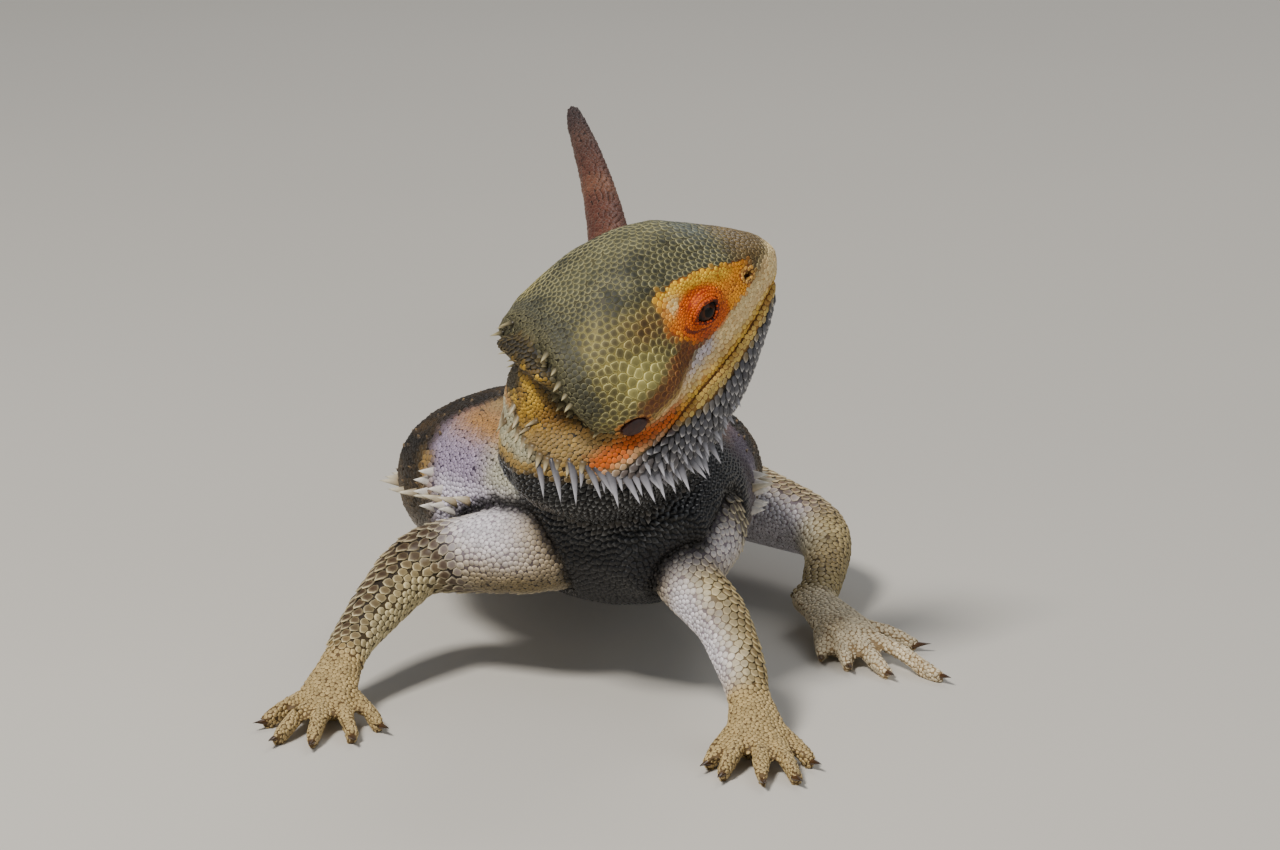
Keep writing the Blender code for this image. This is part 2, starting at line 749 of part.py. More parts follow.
def finish(nodes):
    """Gives every node its material, smooth faces and the origin under its middle."""
    for finish_name, (colour, roughness, names) in FINISHES.items():
        material = bpy.data.materials.new(finish_name)
        material.use_nodes = True
        shader = material.node_tree.nodes["Principled BSDF"]
        shader.inputs["Base Color"].default_value = (*colour, 1)
        shader.inputs["Roughness"].default_value = roughness
        shader.inputs["Metallic"].default_value = 0.0
        for name in names:
            nodes[name].data.materials.clear()
            nodes[name].data.materials.append(material)
    points = [v.co for node in nodes.values() for v in node.data.vertices]
    low = Vector([min(p[i] for p in points) for i in range(3)])
    high = Vector([max(p[i] for p in points) for i in range(3)])
    middle = (low + high) / 2
    shift = Matrix.Translation(Vector((-middle.x, -middle.y, -low.z)))
    for node in nodes.values():
        node.data.transform(shift)
        node.data.shade_smooth()
        node.data.set_sharp_from_angle(angle=SHARP_ANGLE)


def main():
    """Builds the skin, frees its pieces, and adds spines, claws, eyes and eardrums."""
    clear_scene()
    shapes = (add_trunk, add_tail, add_neck, add_head, add_beard, add_limbs, add_paws)
    body = melted("body", shapes, VOXEL, SKIN_TRIANGLES)
    bm = bmesh.new()
    bmesh.ops.create_cube(bm, size=1, matrix=(
        Matrix.Translation(mm(0, 150, 0) - UP * FLOOR_DEPTH / 2)
        @ Matrix.Diagonal((0.4, 0.8, FLOOR_DEPTH, 1))))
    boolean(body, make_object("floor", bm, helper=True), "DIFFERENCE")
    skin = BVHTree.FromObject(body, bpy.context.evaluated_depsgraph_get())
    skull = melted("zone", (add_head, add_beard), ZONE_VOXEL, ZONE_TRIANGLES)
    zone = swollen(skull, "zone_head", ZONE_MARGIN)
    bpy.data.objects.remove(skull)
    nodes = part_head(carve(body, zone, "head"))
    limbs, axis = part_limbs(body)
    nodes.update(limbs)
    nodes.update(part_axis(axis))
    nodes.update(add_senses(nodes["head"]))
    for names in LIMB_PARTS.values():
        add_claws(PAWS[names[2]], nodes[names[2]])
    for row in head_fringes() + flank_fringes():
        spine_row(skin, nodes[row["node"]], list(nodes.values()), row)
    finish(nodes)


main()
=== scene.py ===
"""Dresses the bearded dragon: one skin, scales, spines, claws, eyes and a plain studio.

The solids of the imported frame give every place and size. Their flesh becomes one skin,
which lies inside them by the depth of the scales. Fields on the skin say how large the
scales are at each place, which way they lie and how they are marked, and the scales read
those fields, so that skin and scales carry the same markings.
"""

import json
import logging
import math
from dataclasses import dataclass, field
from enum import Enum

import bmesh
import bpy
import numpy as np
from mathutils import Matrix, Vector
from mathutils.bvhtree import BVHTree
from mathutils.kdtree import KDTree

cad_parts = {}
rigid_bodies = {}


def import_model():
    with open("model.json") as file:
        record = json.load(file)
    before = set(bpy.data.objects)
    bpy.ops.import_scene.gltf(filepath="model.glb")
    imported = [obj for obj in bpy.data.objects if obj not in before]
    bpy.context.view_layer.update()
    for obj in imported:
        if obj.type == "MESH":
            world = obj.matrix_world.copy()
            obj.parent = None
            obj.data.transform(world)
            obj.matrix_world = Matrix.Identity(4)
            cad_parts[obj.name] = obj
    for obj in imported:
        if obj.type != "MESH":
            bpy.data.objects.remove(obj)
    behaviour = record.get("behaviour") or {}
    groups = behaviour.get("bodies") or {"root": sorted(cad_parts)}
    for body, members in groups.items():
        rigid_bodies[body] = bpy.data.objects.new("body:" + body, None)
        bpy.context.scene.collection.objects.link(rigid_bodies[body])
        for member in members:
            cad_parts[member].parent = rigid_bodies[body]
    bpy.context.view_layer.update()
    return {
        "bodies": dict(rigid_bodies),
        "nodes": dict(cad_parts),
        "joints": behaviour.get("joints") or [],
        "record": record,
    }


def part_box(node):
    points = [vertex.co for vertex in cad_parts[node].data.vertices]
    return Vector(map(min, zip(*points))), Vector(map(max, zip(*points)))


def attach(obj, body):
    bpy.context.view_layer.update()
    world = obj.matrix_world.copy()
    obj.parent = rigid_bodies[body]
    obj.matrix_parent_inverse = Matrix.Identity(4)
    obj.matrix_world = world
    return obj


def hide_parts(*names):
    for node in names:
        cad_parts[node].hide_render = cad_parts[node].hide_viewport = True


LOG = logging.getLogger("bearded_dragon")
MM = 0.001
Array = np.ndarray
LOWEST = 0.02 * MM  # nothing of the coat reaches below this height
SOFT = 0.6  # share of the way to its neighbours' mean that a value moves in one round
LID_POWER = 1.7  # exponent of the rounded slit between the lids
PATCH = 0.0015  # radius on the unwrap of the spot that one scale or spine reads
HASH_AXES = (73856093, 19349663, 83492791)  # factors that make a cell's three numbers into one
HASH_SEED = 9781
HASH_MIX = 1274126177

ARMS = ("upper_arm_right", "forearm_right", "hand_right", "upper_arm_left", "forearm_left", "hand_left")
LEGS = ("thigh_left", "shank_left", "foot_left", "thigh_right", "shank_right", "foot_right")
PAWS = ("hand_right", "hand_left", "foot_left", "foot_right")
FLESH = (
    "head", "lower_jaw", "beard", "neck", "trunk_front", "trunk_rear", "hips",
    "tail_base", "tail_middle", "tail_tip", *ARMS, *LEGS,
)


class Side(Enum):
    """Left or right of the animal, as the sign of the sideways axis of the head."""

    LEFT = -1
    RIGHT = 1


class Grade(Enum):
    """How finely one scale is modelled: points round its outline, and whether it has a shoulder."""

    PLAIN = (7, False)
    FINE = (8, True)


# ------------------------------------------------------------------ small helpers


def tone(red: int, green: int, blue: int) -> Array:
    """A display colour of 0 to 255 as scene-linear values."""
    c = np.array([red, green, blue]) / 255
    return np.where(c <= 0.04045, c / 12.92, ((c + 0.055) / 1.055) ** 2.4)


def ease(x: Array, low: float, high: float) -> Array:
    """Smooth step from 0 at low to 1 at high, in either order."""
    t = np.clip((x - low) / (high - low), 0, 1)
    return t * t * (3 - 2 * t)


def unit(v: Array) -> Array:
    """Vectors scaled to length one."""
    return v / np.maximum(np.linalg.norm(v, axis=-1, keepdims=True), 1e-12)


def bell(*terms: tuple) -> Array:
    """Share that is 1 at a middle and falls off to 0 around it.

    Args:
        terms: rows of a value at each point, its middle, and the width of the fall.

    Returns:
        One share per point; several rows multiply.
    """
    power = 0.0
    for value, middle, width in terms:
        power = power - ((value - middle) / width) ** 2
    return np.exp(power)


def mean_of(points: list[Vector]) -> Vector:
    """Middle of a list of points."""
    return sum(points, Vector()) / len(points)


def lattice_noise(points: Array, pitch: float, seed: int) -> Array:
    """Smooth noise between -1 and 1.

    Args:
        points: places, one per row.
        pitch: distance between independent values, in the unit of the points.
        seed: picks one of many patterns.

    Returns:
        One value per point.
    """
    place = points / pitch + seed * 7.31
    cell = np.floor(place).astype(np.int64)
    t = place - cell
    t = t * t * (3 - 2 * t)
    total = np.zeros(len(points))
    for corner in range(8):
        step = np.array([corner & 1, corner >> 1 & 1, corner >> 2 & 1])
        mixed = np.bitwise_xor.reduce((cell + step) * HASH_AXES, axis=1) ^ (seed * HASH_SEED)
        mixed = (mixed ^ (mixed >> 13)) * HASH_MIX & 0xFFFFFFFF
        value = (mixed >> 8 & 0xFFFF) / 32767.5 - 1
        total += value * np.prod(np.where(step, t, 1 - t), axis=1)
    return total


def search_tree(points: Array) -> KDTree:
    """A tree that finds the nearest of some places.

    Args:
        points: places, one per row.

    Returns:
        The tree, whose entries have the numbers of the rows.
    """
    tree = KDTree(len(points))
    for number, point in enumerate(points):
        tree.insert(point, number)
    tree.balance()
    return tree


def select_only(first: bpy.types.Object, *others: bpy.types.Object) -> None:
    """Selects some objects and nothing else.

    Args:
        first: the object that becomes the active one.
        others: further objects to select.
    """
    bpy.ops.object.select_all(action="DESELECT")
    for obj in (first, *others):
        obj.select_set(True)
    bpy.context.view_layer.objects.active = first


def coordinates(mesh: bpy.types.Mesh, what: str = "co") -> Array:
    """Places (co) or normals (normal) of a mesh's points, one per row.

    Args:
        mesh: mesh to read.
        what: co or normal.

    Returns:
        One row per point.
    """
    flat = np.empty(len(mesh.vertices) * 3)
    mesh.vertices.foreach_get(what, flat)
    return flat.reshape(-1, 3)


def mesh_object(name: str, points: Array, faces: list[Array]) -> bpy.types.Object:
    """A smooth mesh object from points and arrays of faces with equal side counts.

    Args:
        name: name of the object and of its mesh.
        points: places in metres, one per row.
        faces: arrays of point numbers, one face per row.

    Returns:
        The new object, linked to the scene.
    """
    mesh = bpy.data.meshes.new(name)
    mesh.vertices.add(len(points))
    mesh.vertices.foreach_set("co", np.ascontiguousarray(points, np.float32).ravel())
    loops = np.concatenate([f.ravel() for f in faces])
    sides = np.concatenate([np.full(len(f), f.shape[1]) for f in faces])
    mesh.loops.add(len(loops))
    mesh.loops.foreach_set("vertex_index", loops.astype(np.int32))
    mesh.polygons.add(len(sides))
    mesh.polygons.foreach_set("loop_start", (np.cumsum(sides) - sides).astype(np.int32))
    mesh.update(calc_edges=True)
    mesh.validate()
    mesh.shade_smooth()
    obj = bpy.data.objects.new(name, mesh)
    bpy.context.scene.collection.objects.link(obj)
    return obj


def tint(mesh: bpy.types.Mesh, colours: Array, roughness: Array | float) -> None:
    """Stores a colour and a roughness on each point of a mesh, under the name the finishes read.

    Args:
        mesh: mesh that gets the layer.
        colours: scene-linear colour of each point.
        roughness: roughness of each point or of all.
    """
    layer = mesh.color_attributes.new("Tint", "FLOAT_COLOR", "POINT")
    rgba = np.ones((len(colours), 4), np.float32)
    rgba[:, :3] = colours
    rgba[:, 3] = roughness
    layer.data.foreach_set("color", rgba.ravel())


def corners_of(mesh: bpy.types.Mesh) -> Array:
    """Number of the point at each corner of a mesh's faces.

    Args:
        mesh: mesh to read.

    Returns:
        One number per corner.
    """
    corners = np.empty(len(mesh.loops), np.int32)
    mesh.loops.foreach_get("vertex_index", corners)
    return corners


def bake_map(mesh: bpy.types.Mesh, per_point: Array) -> None:
    """Writes the unwrap named OFBake.

    Args:
        mesh: mesh that gets the map.
        per_point: place on the map of each of its points.
    """
    layer = mesh.uv_layers.new(name="OFBake")
    layer.data.foreach_set("uv", per_point[corners_of(mesh)].astype(np.float32).ravel())


# ------------------------------------------------------------------ the head's own frame


@dataclass(frozen=True)
class HeadFrame:
    """Axes of the raised, turned head, and its landmarks in millimetres from the snout tip.

    Lines are rows of a forward and an upward place, from the snout backwards. The jowl's rear
    edge has rows of an upward and a forward place, from the crown downwards. Eye, ear and
    nostril have forward, upward and sideways places.
    """

    snout: Vector = Vector((0.033914, -0.153960, 0.0915))
    heading: Vector = Vector((0.862, 0.378, 0.337))
    crown: Vector = Vector((-0.222, -0.319, 0.921))
    mouth: tuple = ((8, -2.2), (-2, -2.8), (-7, -4.8), (-11.5, -6.9), (-16.8, -8.7), (-21, -9.9),
                    (-28.5, -11.5), (-33, -12.8), (-42, -16.0), (-56, -20.0), (-80, -30.0))
    jowl: tuple = ((20, -47.0), (14.6, -50.5), (12.2, -53.1), (8.2, -54.8), (2.5, -55.9), (-3.1, -54.9),
                   (-8.6, -52.8), (-10.6, -48.5), (-11.4, -44.0), (-14, -44.0), (-15, -54.0), (-30, -60.0))
    brow: tuple = ((-3, 5.6), (-9.3, 8.0), (-14.2, 9.7), (-20.4, 12.2), (-26.2, 13.1), (-30.7, 12.8),
                   (-37.1, 13.7), (-60, 14))
    upper_lip: tuple = ((8, 5.4), (-4.4, 4.4), (-9.7, 1.3), (-16.7, -0.8), (-22, -3.2), (-25.9, -4.2),
                        (-29.5, -6.6), (-35.4, -8.6), (-39.5, -10.2), (-44, -12.5), (-60, -20))
    lower_lip: tuple = ((8, -4.0), (-5.2, -5.9), (-10.4, -8.6), (-14.9, -10.8), (-21.5, -13.2),
                        (-26.6, -14.5), (-33.5, -14.7), (-38.7, -14.6), (-44.6, -15.5), (-48, -16.5),
                        (-52.9, -17.8), (-60, -21))
    cheek_top: tuple = ((-20, -1.0), (-25, -0.4), (-28.7, 1.6), (-32.2, 0.0), (-36.7, -1.4),
                        (-40.3, -2.8), (-43.9, -4.4), (-47, -6.5))
    cheek_foot: tuple = ((-20, -3.4), (-25.6, -2.4), (-29.3, -5.6), (-35.2, -6.4), (-39.8, -7.8),
                         (-43, -9.0), (-47, -11))
    stripe: tuple = ((-30, -11.0), (-36.3, -12.2), (-41, -12.9), (-46.5, -13.6), (-50.7, -14.6),
                     (-54.8, -16.4))
    beard_foot: tuple = ((8, -11), (-10, -15.5), (-20, -22), (-31, -25.2), (-39, -24.0), (-46.7, -21.0),
                         (-49.8, -20.2), (-55, -18.0), (-63, -16.2))
    patch_foot: tuple = ((8, 5.4), (-4.4, 4.4), (-9.7, 1.3), (-16.7, -0.8), (-22, -3.2), (-25.9, -2.2),
                         (-29.5, 1.2), (-33, 5.0))
    eye: tuple = (-22.7, 4.0, 11.4)
    ear: tuple = (-45.2, -9.8, 20.8)
    nostril: tuple = (-9.6, 4.2, 8.2)

    def axes(self) -> tuple[Vector, Vector, Vector]:
        """Unit vectors forward, up and right of the head.

        Returns:
            The three axes.
        """
        forward = self.heading.normalized()
        right = forward.cross(self.crown).normalized()
        return forward, right.cross(forward).normalized(), right

    def point(self, f: float, u: float, r: float = 0.0) -> Vector:
        """A place given forward, up and right in millimetres, in the row frame."""
        axes = self.axes()
        return self.snout + (axes[0] * f + axes[1] * u + axes[2] * r) * MM

    def seat(self, seat: tuple, side: Side) -> Vector:
        """A landmark on one side of the head."""
        return self.point(seat[0], seat[1], seat[2] * side.value)

    def local(self, points: Array) -> Array:
        """Places forward, up and right of the snout tip, in millimetres."""
        axes = np.array([list(a) for a in self.axes()])
        return (points - np.array(self.snout)) @ axes.T / MM

    def jowl_edge(self, u: Array | float) -> Array | float:
        """Forward place of the rear edge of the jowl at a height of the head."""
        heights, edge = zip(*self.jowl[::-1])
        return np.interp(u, heights, edge)

    def behind_jowl(self, local: Array) -> Array:
        """How far in millimetres each place lies behind the rear edge of the jowl."""
        return self.jowl_edge(local[:, 1]) - local[:, 0]

    def line(self, rows: tuple, f: Array) -> Array:
        """Height of a line of (forward, upward) rows at each forward place."""
        xs, ys = np.array(rows[::-1], float).T
        return np.interp(f, xs, ys)


# ------------------------------------------------------------------ finishes


class Graph:
    """The shader nodes of one new material."""

    def __init__(self, name: str) -> None:
        """Starts the material with its surface shader.

        Args:
            name: name of the material.
        """
        self.material = bpy.data.materials.new(name)
        self.material.use_nodes = True
        self.nodes = self.material.node_tree.nodes
        self.shader = self.nodes["Principled BSDF"]

    def add(self, kind: str, values: dict | None = None,
            operation: str | None = None) -> bpy.types.ShaderNode:
        """Adds a node.

        Args:
            kind: its type, without the leading ShaderNode.
            values: numbers or vectors for some of its inputs, by name or number.
            operation: what a node of arithmetic does.

        Returns:
            The node.
        """
        node = self.nodes.new("ShaderNode" + kind)
        if operation:
            node.operation = operation
        for where, value in (values or {}).items():
            node.inputs[where].default_value = value
        return node

    def ramp(self, stops: tuple) -> bpy.types.ShaderNode:
        """Adds a colour ramp.

        Args:
            stops: rows of a position and a scene-linear colour, from first to last.

        Returns:
            The node.
        """
        node = self.add("ValToRGB")
        elements = node.color_ramp.elements
        elements[0].position, elements[-1].position = stops[0][0], stops[-1][0]
        for where, _ in stops[1:-1]:
            elements.new(where)
        for element, (_, colour) in zip(elements, stops):
            element.color = (*colour, 1)
        return node

    def wire(self, *wires: tuple) -> None:
        """Connects nodes.

        Args:
            wires: rows of a node, its output, the next node and its input.
        """
        for source, output, target, where in wires:
            self.material.node_tree.links.new(source.outputs[output], target.inputs[where])


@dataclass(frozen=True)
class ScaleFinish:
    """Keratin of skin and scales: the stored markings under a fine, slightly uneven gloss."""

    name: str
    relief: float = 0.25
    relief_depth: float = 0.1 * MM
    grain: float = 2600.0
    mottle: float = 0.28
    gloss: float = 0.34

    def material(self) -> bpy.types.Material:
        """Builds the finish.

        Returns:
            The material, which reads colour and roughness from the layer named Tint.
        """
        graph = Graph(self.name)
        stored = graph.add("Attribute")
        stored.attribute_name = "Tint"
        place = graph.add("TexCoord")
        mottle = graph.add("TexNoise", {"Scale": self.grain * 0.35, "Detail": 3})
        ramp = graph.add("MapRange", {"To Min": 1 - self.mottle, "To Max": 1 + self.mottle})
        shade = graph.add("VectorMath", operation="SCALE")
        fine = graph.add("TexNoise", {"Scale": self.grain, "Detail": 2})
        bump = graph.add("Bump", {"Strength": self.relief, "Distance": self.relief_depth})
        graph.wire((place, "Object", mottle, "Vector"), (place, "Object", fine, "Vector"),
                   (mottle, "Fac", ramp, "Value"), (stored, "Color", shade, 0),
                   (ramp, "Result", shade, "Scale"), (shade, "Vector", graph.shader, "Base Color"),
                   (fine, "Fac", bump, "Height"), (bump, "Normal", graph.shader, "Normal"),
                   (stored, "Alpha", graph.shader, "Roughness"))
        graph.shader.inputs["Specular IOR Level"].default_value = self.gloss
        return graph.material


@dataclass(frozen=True)
class EyeFinish:
    """Wet eyeball: round black pupil in a dark brown iris, under a clear glossy surface.

    The rings are distances from the pupil's middle, as shares of the radius, with a display colour.
    """

    centre: Vector
    axis: Vector
    radius: float
    streak: float = 0.5 * MM
    grain: float = 2200.0
    roughness: float = 0.04
    gloss: float = 0.22
    rings: tuple = ((0.0, (3, 2, 2)), (0.34, (4, 3, 2)), (0.39, (74, 38, 14)), (0.50, (52, 24, 10)),
                    (0.62, (18, 9, 5)), (1.0, (6, 4, 3)))

    def material(self, name: str) -> bpy.types.Material:
        """Builds the finish of the eye that looks along its own axis.

        Args:
            name: name of the material.

        Returns:
            The material.
        """
        graph = Graph(name)
        place = graph.add("TexCoord")
        away = graph.add("VectorMath", {1: self.centre + self.axis * self.radius}, "SUBTRACT")
        reach = graph.add("VectorMath", operation="LENGTH")
        streaks = graph.add("TexNoise", {"Scale": self.grain})
        bent = graph.add("Math", {1: self.streak}, "MULTIPLY_ADD")
        spread = graph.add("Math", {1: self.radius}, "DIVIDE")
        ramp = graph.ramp(tuple((where, tone(*colour)) for where, colour in self.rings))
        graph.wire((place, "Object", away, 0), (place, "Object", streaks, "Vector"),
                   (away, "Vector", reach, 0), (streaks, "Fac", bent, 0), (reach, "Value", bent, 2),
                   (bent, "Value", spread, 0), (spread, "Value", ramp, "Fac"),
                   (ramp, "Color", graph.shader, "Base Color"))
        graph.shader.inputs["Roughness"].default_value = self.roughness
        graph.shader.inputs["Specular IOR Level"].default_value = self.gloss
        return graph.material


@dataclass(frozen=True)
class PlainFinish:
    """A finish of one colour with faint mottling."""

    name: str
    colour: tuple
    roughness: float
    mottle: float = 0.15
    grain: float = 900.0

    def material(self) -> bpy.types.Material:
        """Builds the finish.

        Returns:
            The material.
        """
        graph = Graph(self.name)
        place = graph.add("TexCoord")
        noise = graph.add("TexNoise", {"Scale": self.grain})
        colour = tone(*self.colour)
        light = np.minimum(colour * (1 + self.mottle), 1)
        ramp = graph.ramp(((0.3, colour * (1 - self.mottle)), (0.7, light)))
        graph.wire((place, "Object", noise, "Vector"), (noise, "Fac", ramp, "Fac"),
                   (ramp, "Color", graph.shader, "Base Color"))
        graph.shader.inputs["Roughness"].default_value = self.roughness
        return graph.material


# ------------------------------------------------------------------ skin


@dataclass
class Spike:
    """A spine or claw of the solids: middle of its base, tip, and the node it grows from."""

    base: Vector
    tip: Vector
    node: str


@dataclass
class Skin:
    """One closed skin made from all the flesh of the solids.

    The pieces are copied, freed of their spines and claws, melted together and smoothed.
    Fingers, brow, lids, mouth, nostrils and folds are then shaped in it. A spine's tip is
    known by the angles of its faces, which add up to less than the needle turn.
    """

    frame: dict
    head: HeadFrame
    flesh: tuple
    voxel: float = 1.08 * MM
    overlap: float = 0.25 * MM
    depth: float = 0.40 * MM
    face_depth: float = 0.26 * MM
    paw_depth: float = 0.10 * MM
    eye_cover: float = 4.35 * MM
    aperture: tuple = (2.55, 1.85)
    needle_turn: float = 1.95
    paw_top: float = 11 * MM
    sole: float = 0.12 * MM
    smoothing: int = 24
    heel_rounds: int = 40
    spikes: list = field(default_factory=list)
    obj: bpy.types.Object = None
    stock_tree: BVHTree = None
    stock_nodes: list = field(default_factory=list)
    node: Array = None
    points: Array = None
    normals: Array = None

    def build(self) -> None:
        """Makes the skin, which stands for the nodes of flesh."""
        stock = self.join_flesh()
        self.melt(stock)
        self.place()
        self.divide(self.on(*PAWS))
        self.refine()
        self.place()
        points = coordinates(self.obj.data)
        paws = self.on(*PAWS) & (points[:, 2] < self.paw_top)
        face = self.on("head", "lower_jaw", "beard")
        points[paws] = [list(self.stock_tree.find_nearest(Vector(p))[0]) for p in points[paws]]
        shares = self.averaged(np.column_stack([paws, face]).astype(float), SOFT, 5)
        weight = 1 - 0.80 * shares[:, :1]
        for _ in range(self.smoothing):  # in and out, so that the form keeps its volume
            points = self.averaged(points, 0.62 * weight)
            points = self.averaged(points, -0.64 * weight)
        points = self.averaged(points, 0.4 * weight)
        heels = ease(points[:, 2] / MM, 8, 12) * self.on("foot_left", "foot_right")
        self.move_to(self.averaged(points, SOFT * heels[:, None], self.heel_rounds))
        self.normals = coordinates(self.obj.data, "normal")
        depth = self.depth * (1 - shares.sum(axis=1)) + shares @ (self.paw_depth, self.face_depth)
        self.points = self.points - self.normals * (self.overlap + depth)[:, None]
        self.shape_paws()
        self.shape_brow()
        self.shape_eyes()
        self.shape_mouth()
        self.shape_nostrils()
        self.shape_folds()
        self.move_to(self.points)
        self.obj.data.shade_smooth()
        self.unwrap()
        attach(self.obj, "root")
        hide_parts(*self.flesh)

    def move_to(self, points: Array) -> None:
        """Moves the skin's points.

        Args:
            points: their new places.
        """
        self.points = points
        self.obj.data.vertices.foreach_set("co", points.ravel())
        self.obj.data.update()

    def place(self) -> None:
        """Finds which node each point of the skin belongs to."""
        find = self.stock_tree.find_nearest
        faces = [find(Vector(p))[2] for p in coordinates(self.obj.data)]
        self.node = np.array(self.stock_nodes)[faces]

    def on(self, *names: str) -> Array:
        """Whether each point belongs to one of the named nodes."""
        return np.isin(self.node, [self.flesh.index(name) for name in names])

    def join_flesh(self) -> bpy.types.Object:
        """Copies of all flesh nodes as one object, without spines and claws.

        Returns:
            The joined copies.
        """
        copies = []
        for number, name in enumerate(self.flesh):
            node = self.frame["nodes"][name]
            twin = bpy.data.objects.new("flesh_" + name, node.data.copy())
            bpy.context.scene.collection.objects.link(twin)
            twin.data.materials.clear()
            bm = bmesh.new()
            bm.from_mesh(twin.data)
            bmesh.ops.remove_doubles(bm, verts=bm.verts, dist=1e-6)
            self.strip_spikes(bm, name)
            bm.normal_update()
            moves = [(v, v.normal * self.overlap) for v in bm.verts]
            for vert, move in moves:
                vert.co += move
            bm.to_mesh(twin.data)
            bm.free()
            mark = twin.data.attributes.new("node", "INT", "FACE")
            mark.data.foreach_set("value", [number] * len(twin.data.polygons))
            copies.append(twin)
        select_only(*copies)
        bpy.ops.object.join()
        stock = copies[0]
        self.stock_tree = BVHTree.FromPolygons(
            [v.co.copy() for v in stock.data.vertices],
            [tuple(p.vertices) for p in stock.data.polygons])
        self.stock_nodes = [item.value for item in stock.data.attributes["node"].data]
        return stock

    def strip_spikes(self, bm: bmesh.types.BMesh, node: str) -> None:
        """Cuts off every needle of a mesh, closes the holes and keeps note of the needles.

        Args:
            bm: mesh of one node, merged.
            node: name of the node.
        """
        needles = []
        for vert in bm.verts:
            turn = sum(loop.calc_angle() for loop in vert.link_loops)
            if turn < self.needle_turn:
                needles.append(vert)
        for vert in needles:
            ring = [edge.other_vert(vert).co.copy() for edge in vert.link_edges]
            self.spikes.append(Spike(mean_of(ring), vert.co.copy(), node))
        bmesh.ops.delete(bm, geom=needles, context="VERTS")
        rims = [edge for edge in bm.edges if edge.is_boundary]
        bmesh.ops.holes_fill(bm, edges=rims, sides=0)
        bmesh.ops.triangulate(bm, faces=[f for f in bm.faces if len(f.verts) > 4])
        bmesh.ops.recalc_face_normals(bm, faces=bm.faces)

    def melt(self, stock: bpy.types.Object) -> None:
        """Closes the cuts between the pieces and covers the eyes, as one even mesh.

        Args:
            stock: the joined copies, which become the skin.
        """
        covers = []
        for side in Side:
            bpy.ops.object.select_all(action="DESELECT")
            bpy.ops.mesh.primitive_ico_sphere_add(
                subdivisions=4, radius=self.eye_cover,
                location=self.head.seat(self.head.eye, side))
            covers.append(bpy.context.object)
        select_only(stock, *covers)
        bpy.ops.object.transform_apply(location=True, rotation=True, scale=True)
        bpy.ops.object.join()
        remesh = stock.modifiers.new("remesh", "REMESH")
        remesh.mode, remesh.voxel_size = "VOXEL", self.voxel
        select_only(stock)
        bpy.ops.object.modifier_apply(modifier=remesh.name)
        stock.name = stock.data.name = "skin"
        self.obj = stock

    def refine(self) -> None:
        """Divides the skin of the face, finest round eyes and nostrils."""
        spots = []
        for side in Side:
            spots += [(self.head.seat(self.head.eye, side), 8.6 * MM, 2),
                      (self.head.seat(self.head.nostril, side), 2.6 * MM, 2),
                      (self.head.seat(self.head.ear, side), 5.5 * MM, 1)]
        points = coordinates(self.obj.data)
        local = self.head.local(points)
        gap = np.abs(local[:, 1] - self.head.line(self.head.mouth, local[:, 0]))
        lips = (gap < 2.6) & (local[:, 0] > -46) & (np.abs(local[:, 2]) < 24)
        self.divide(lips)
        for centre, reach, times in spots:
            for _ in range(times):
                away = np.linalg.norm(coordinates(self.obj.data) - np.array(centre), axis=1)
                self.divide(away < reach)
                reach *= 0.86

    def divide(self, chosen: Array) -> None:
        """Divides the faces whose points are all chosen.

        Args:
            chosen: whether each point is chosen.
        """
        select_only(self.obj)
        mesh = self.obj.data
        bpy.ops.object.mode_set(mode="EDIT")
        bpy.ops.mesh.select_all(action="DESELECT")
        bpy.ops.object.mode_set(mode="OBJECT")
        mesh.vertices.foreach_set("select", chosen)
        starts = np.empty(len(mesh.polygons), np.int32)
        mesh.polygons.foreach_get("loop_start", starts)
        mesh.polygons.foreach_set("select", np.logical_and.reduceat(chosen[corners_of(mesh)], starts))
        bpy.ops.object.mode_set(mode="EDIT")
        bpy.context.tool_settings.mesh_select_mode = (False, False, True)
        bpy.ops.mesh.subdivide(number_cuts=1)
        bpy.ops.object.mode_set(mode="OBJECT")

    def averaged(self, values: Array, share: float | Array, rounds: int = 1) -> Array:
        """Moves values a share of the way to the mean of their neighbours.

        Args:
            values: one row per point.
            share: share of the way, the same for all points or one for each.
            rounds: how often they move.

        Returns:
            The moved values.
        """
        edges = np.empty(len(self.obj.data.edges) * 2, np.int32)
        self.obj.data.edges.foreach_get("vertices", edges)
        one, other = edges.reshape(-1, 2).T
        count = len(values)
        near = np.maximum(np.bincount(edges, minlength=count), 1)
        share = np.broadcast_to(share, (count, 1))[:, 0]
        for _ in range(rounds):
            moved = np.empty_like(values)
            for k in range(values.shape[1]):
                total = np.bincount(one, values[other, k], count)
                total += np.bincount(other, values[one, k], count)
                moved[:, k] = values[:, k] + share * (total / near - values[:, k])
            values = moved
        return values

    def spread(self, rounds: int, *names: str) -> Array:
        """Share of a group of nodes at each point, blurred over its border in a number of rounds."""
        return self.averaged(self.on(*names).astype(float)[:, None], SOFT, rounds)[:, 0]

    def border(self, *names: str) -> Array:
        """How near each point lies to the border of a group of nodes: 1 on it, 0 away from it."""
        share = self.spread(3, *names)
        return 4 * share * (1 - share)

    def shape_paws(self) -> None:
        """Draws the stumps left by the claws back into round finger tips and levels the soles."""
        points = self.points
        for spike in self.spikes:
            if not spike.node.startswith(("hand", "foot")):
                continue
            way = (spike.tip - spike.base).normalized()
            away = points - np.array(spike.base)
            along = away @ np.array(way)
            across = np.linalg.norm(away - along[:, None] * np.array(way), axis=1)
            start, tip = 0.4 * MM, 0.5 * MM
            near = (across < 2.6 * MM) & (along > start) & (along < 5 * MM)
            pull = along[near] - start - tip * np.tanh((along[near] - start) / MM)
            points[near] -= pull[:, None] * np.array(way)
        points[:, 2] = np.maximum(points[:, 2], self.sole)

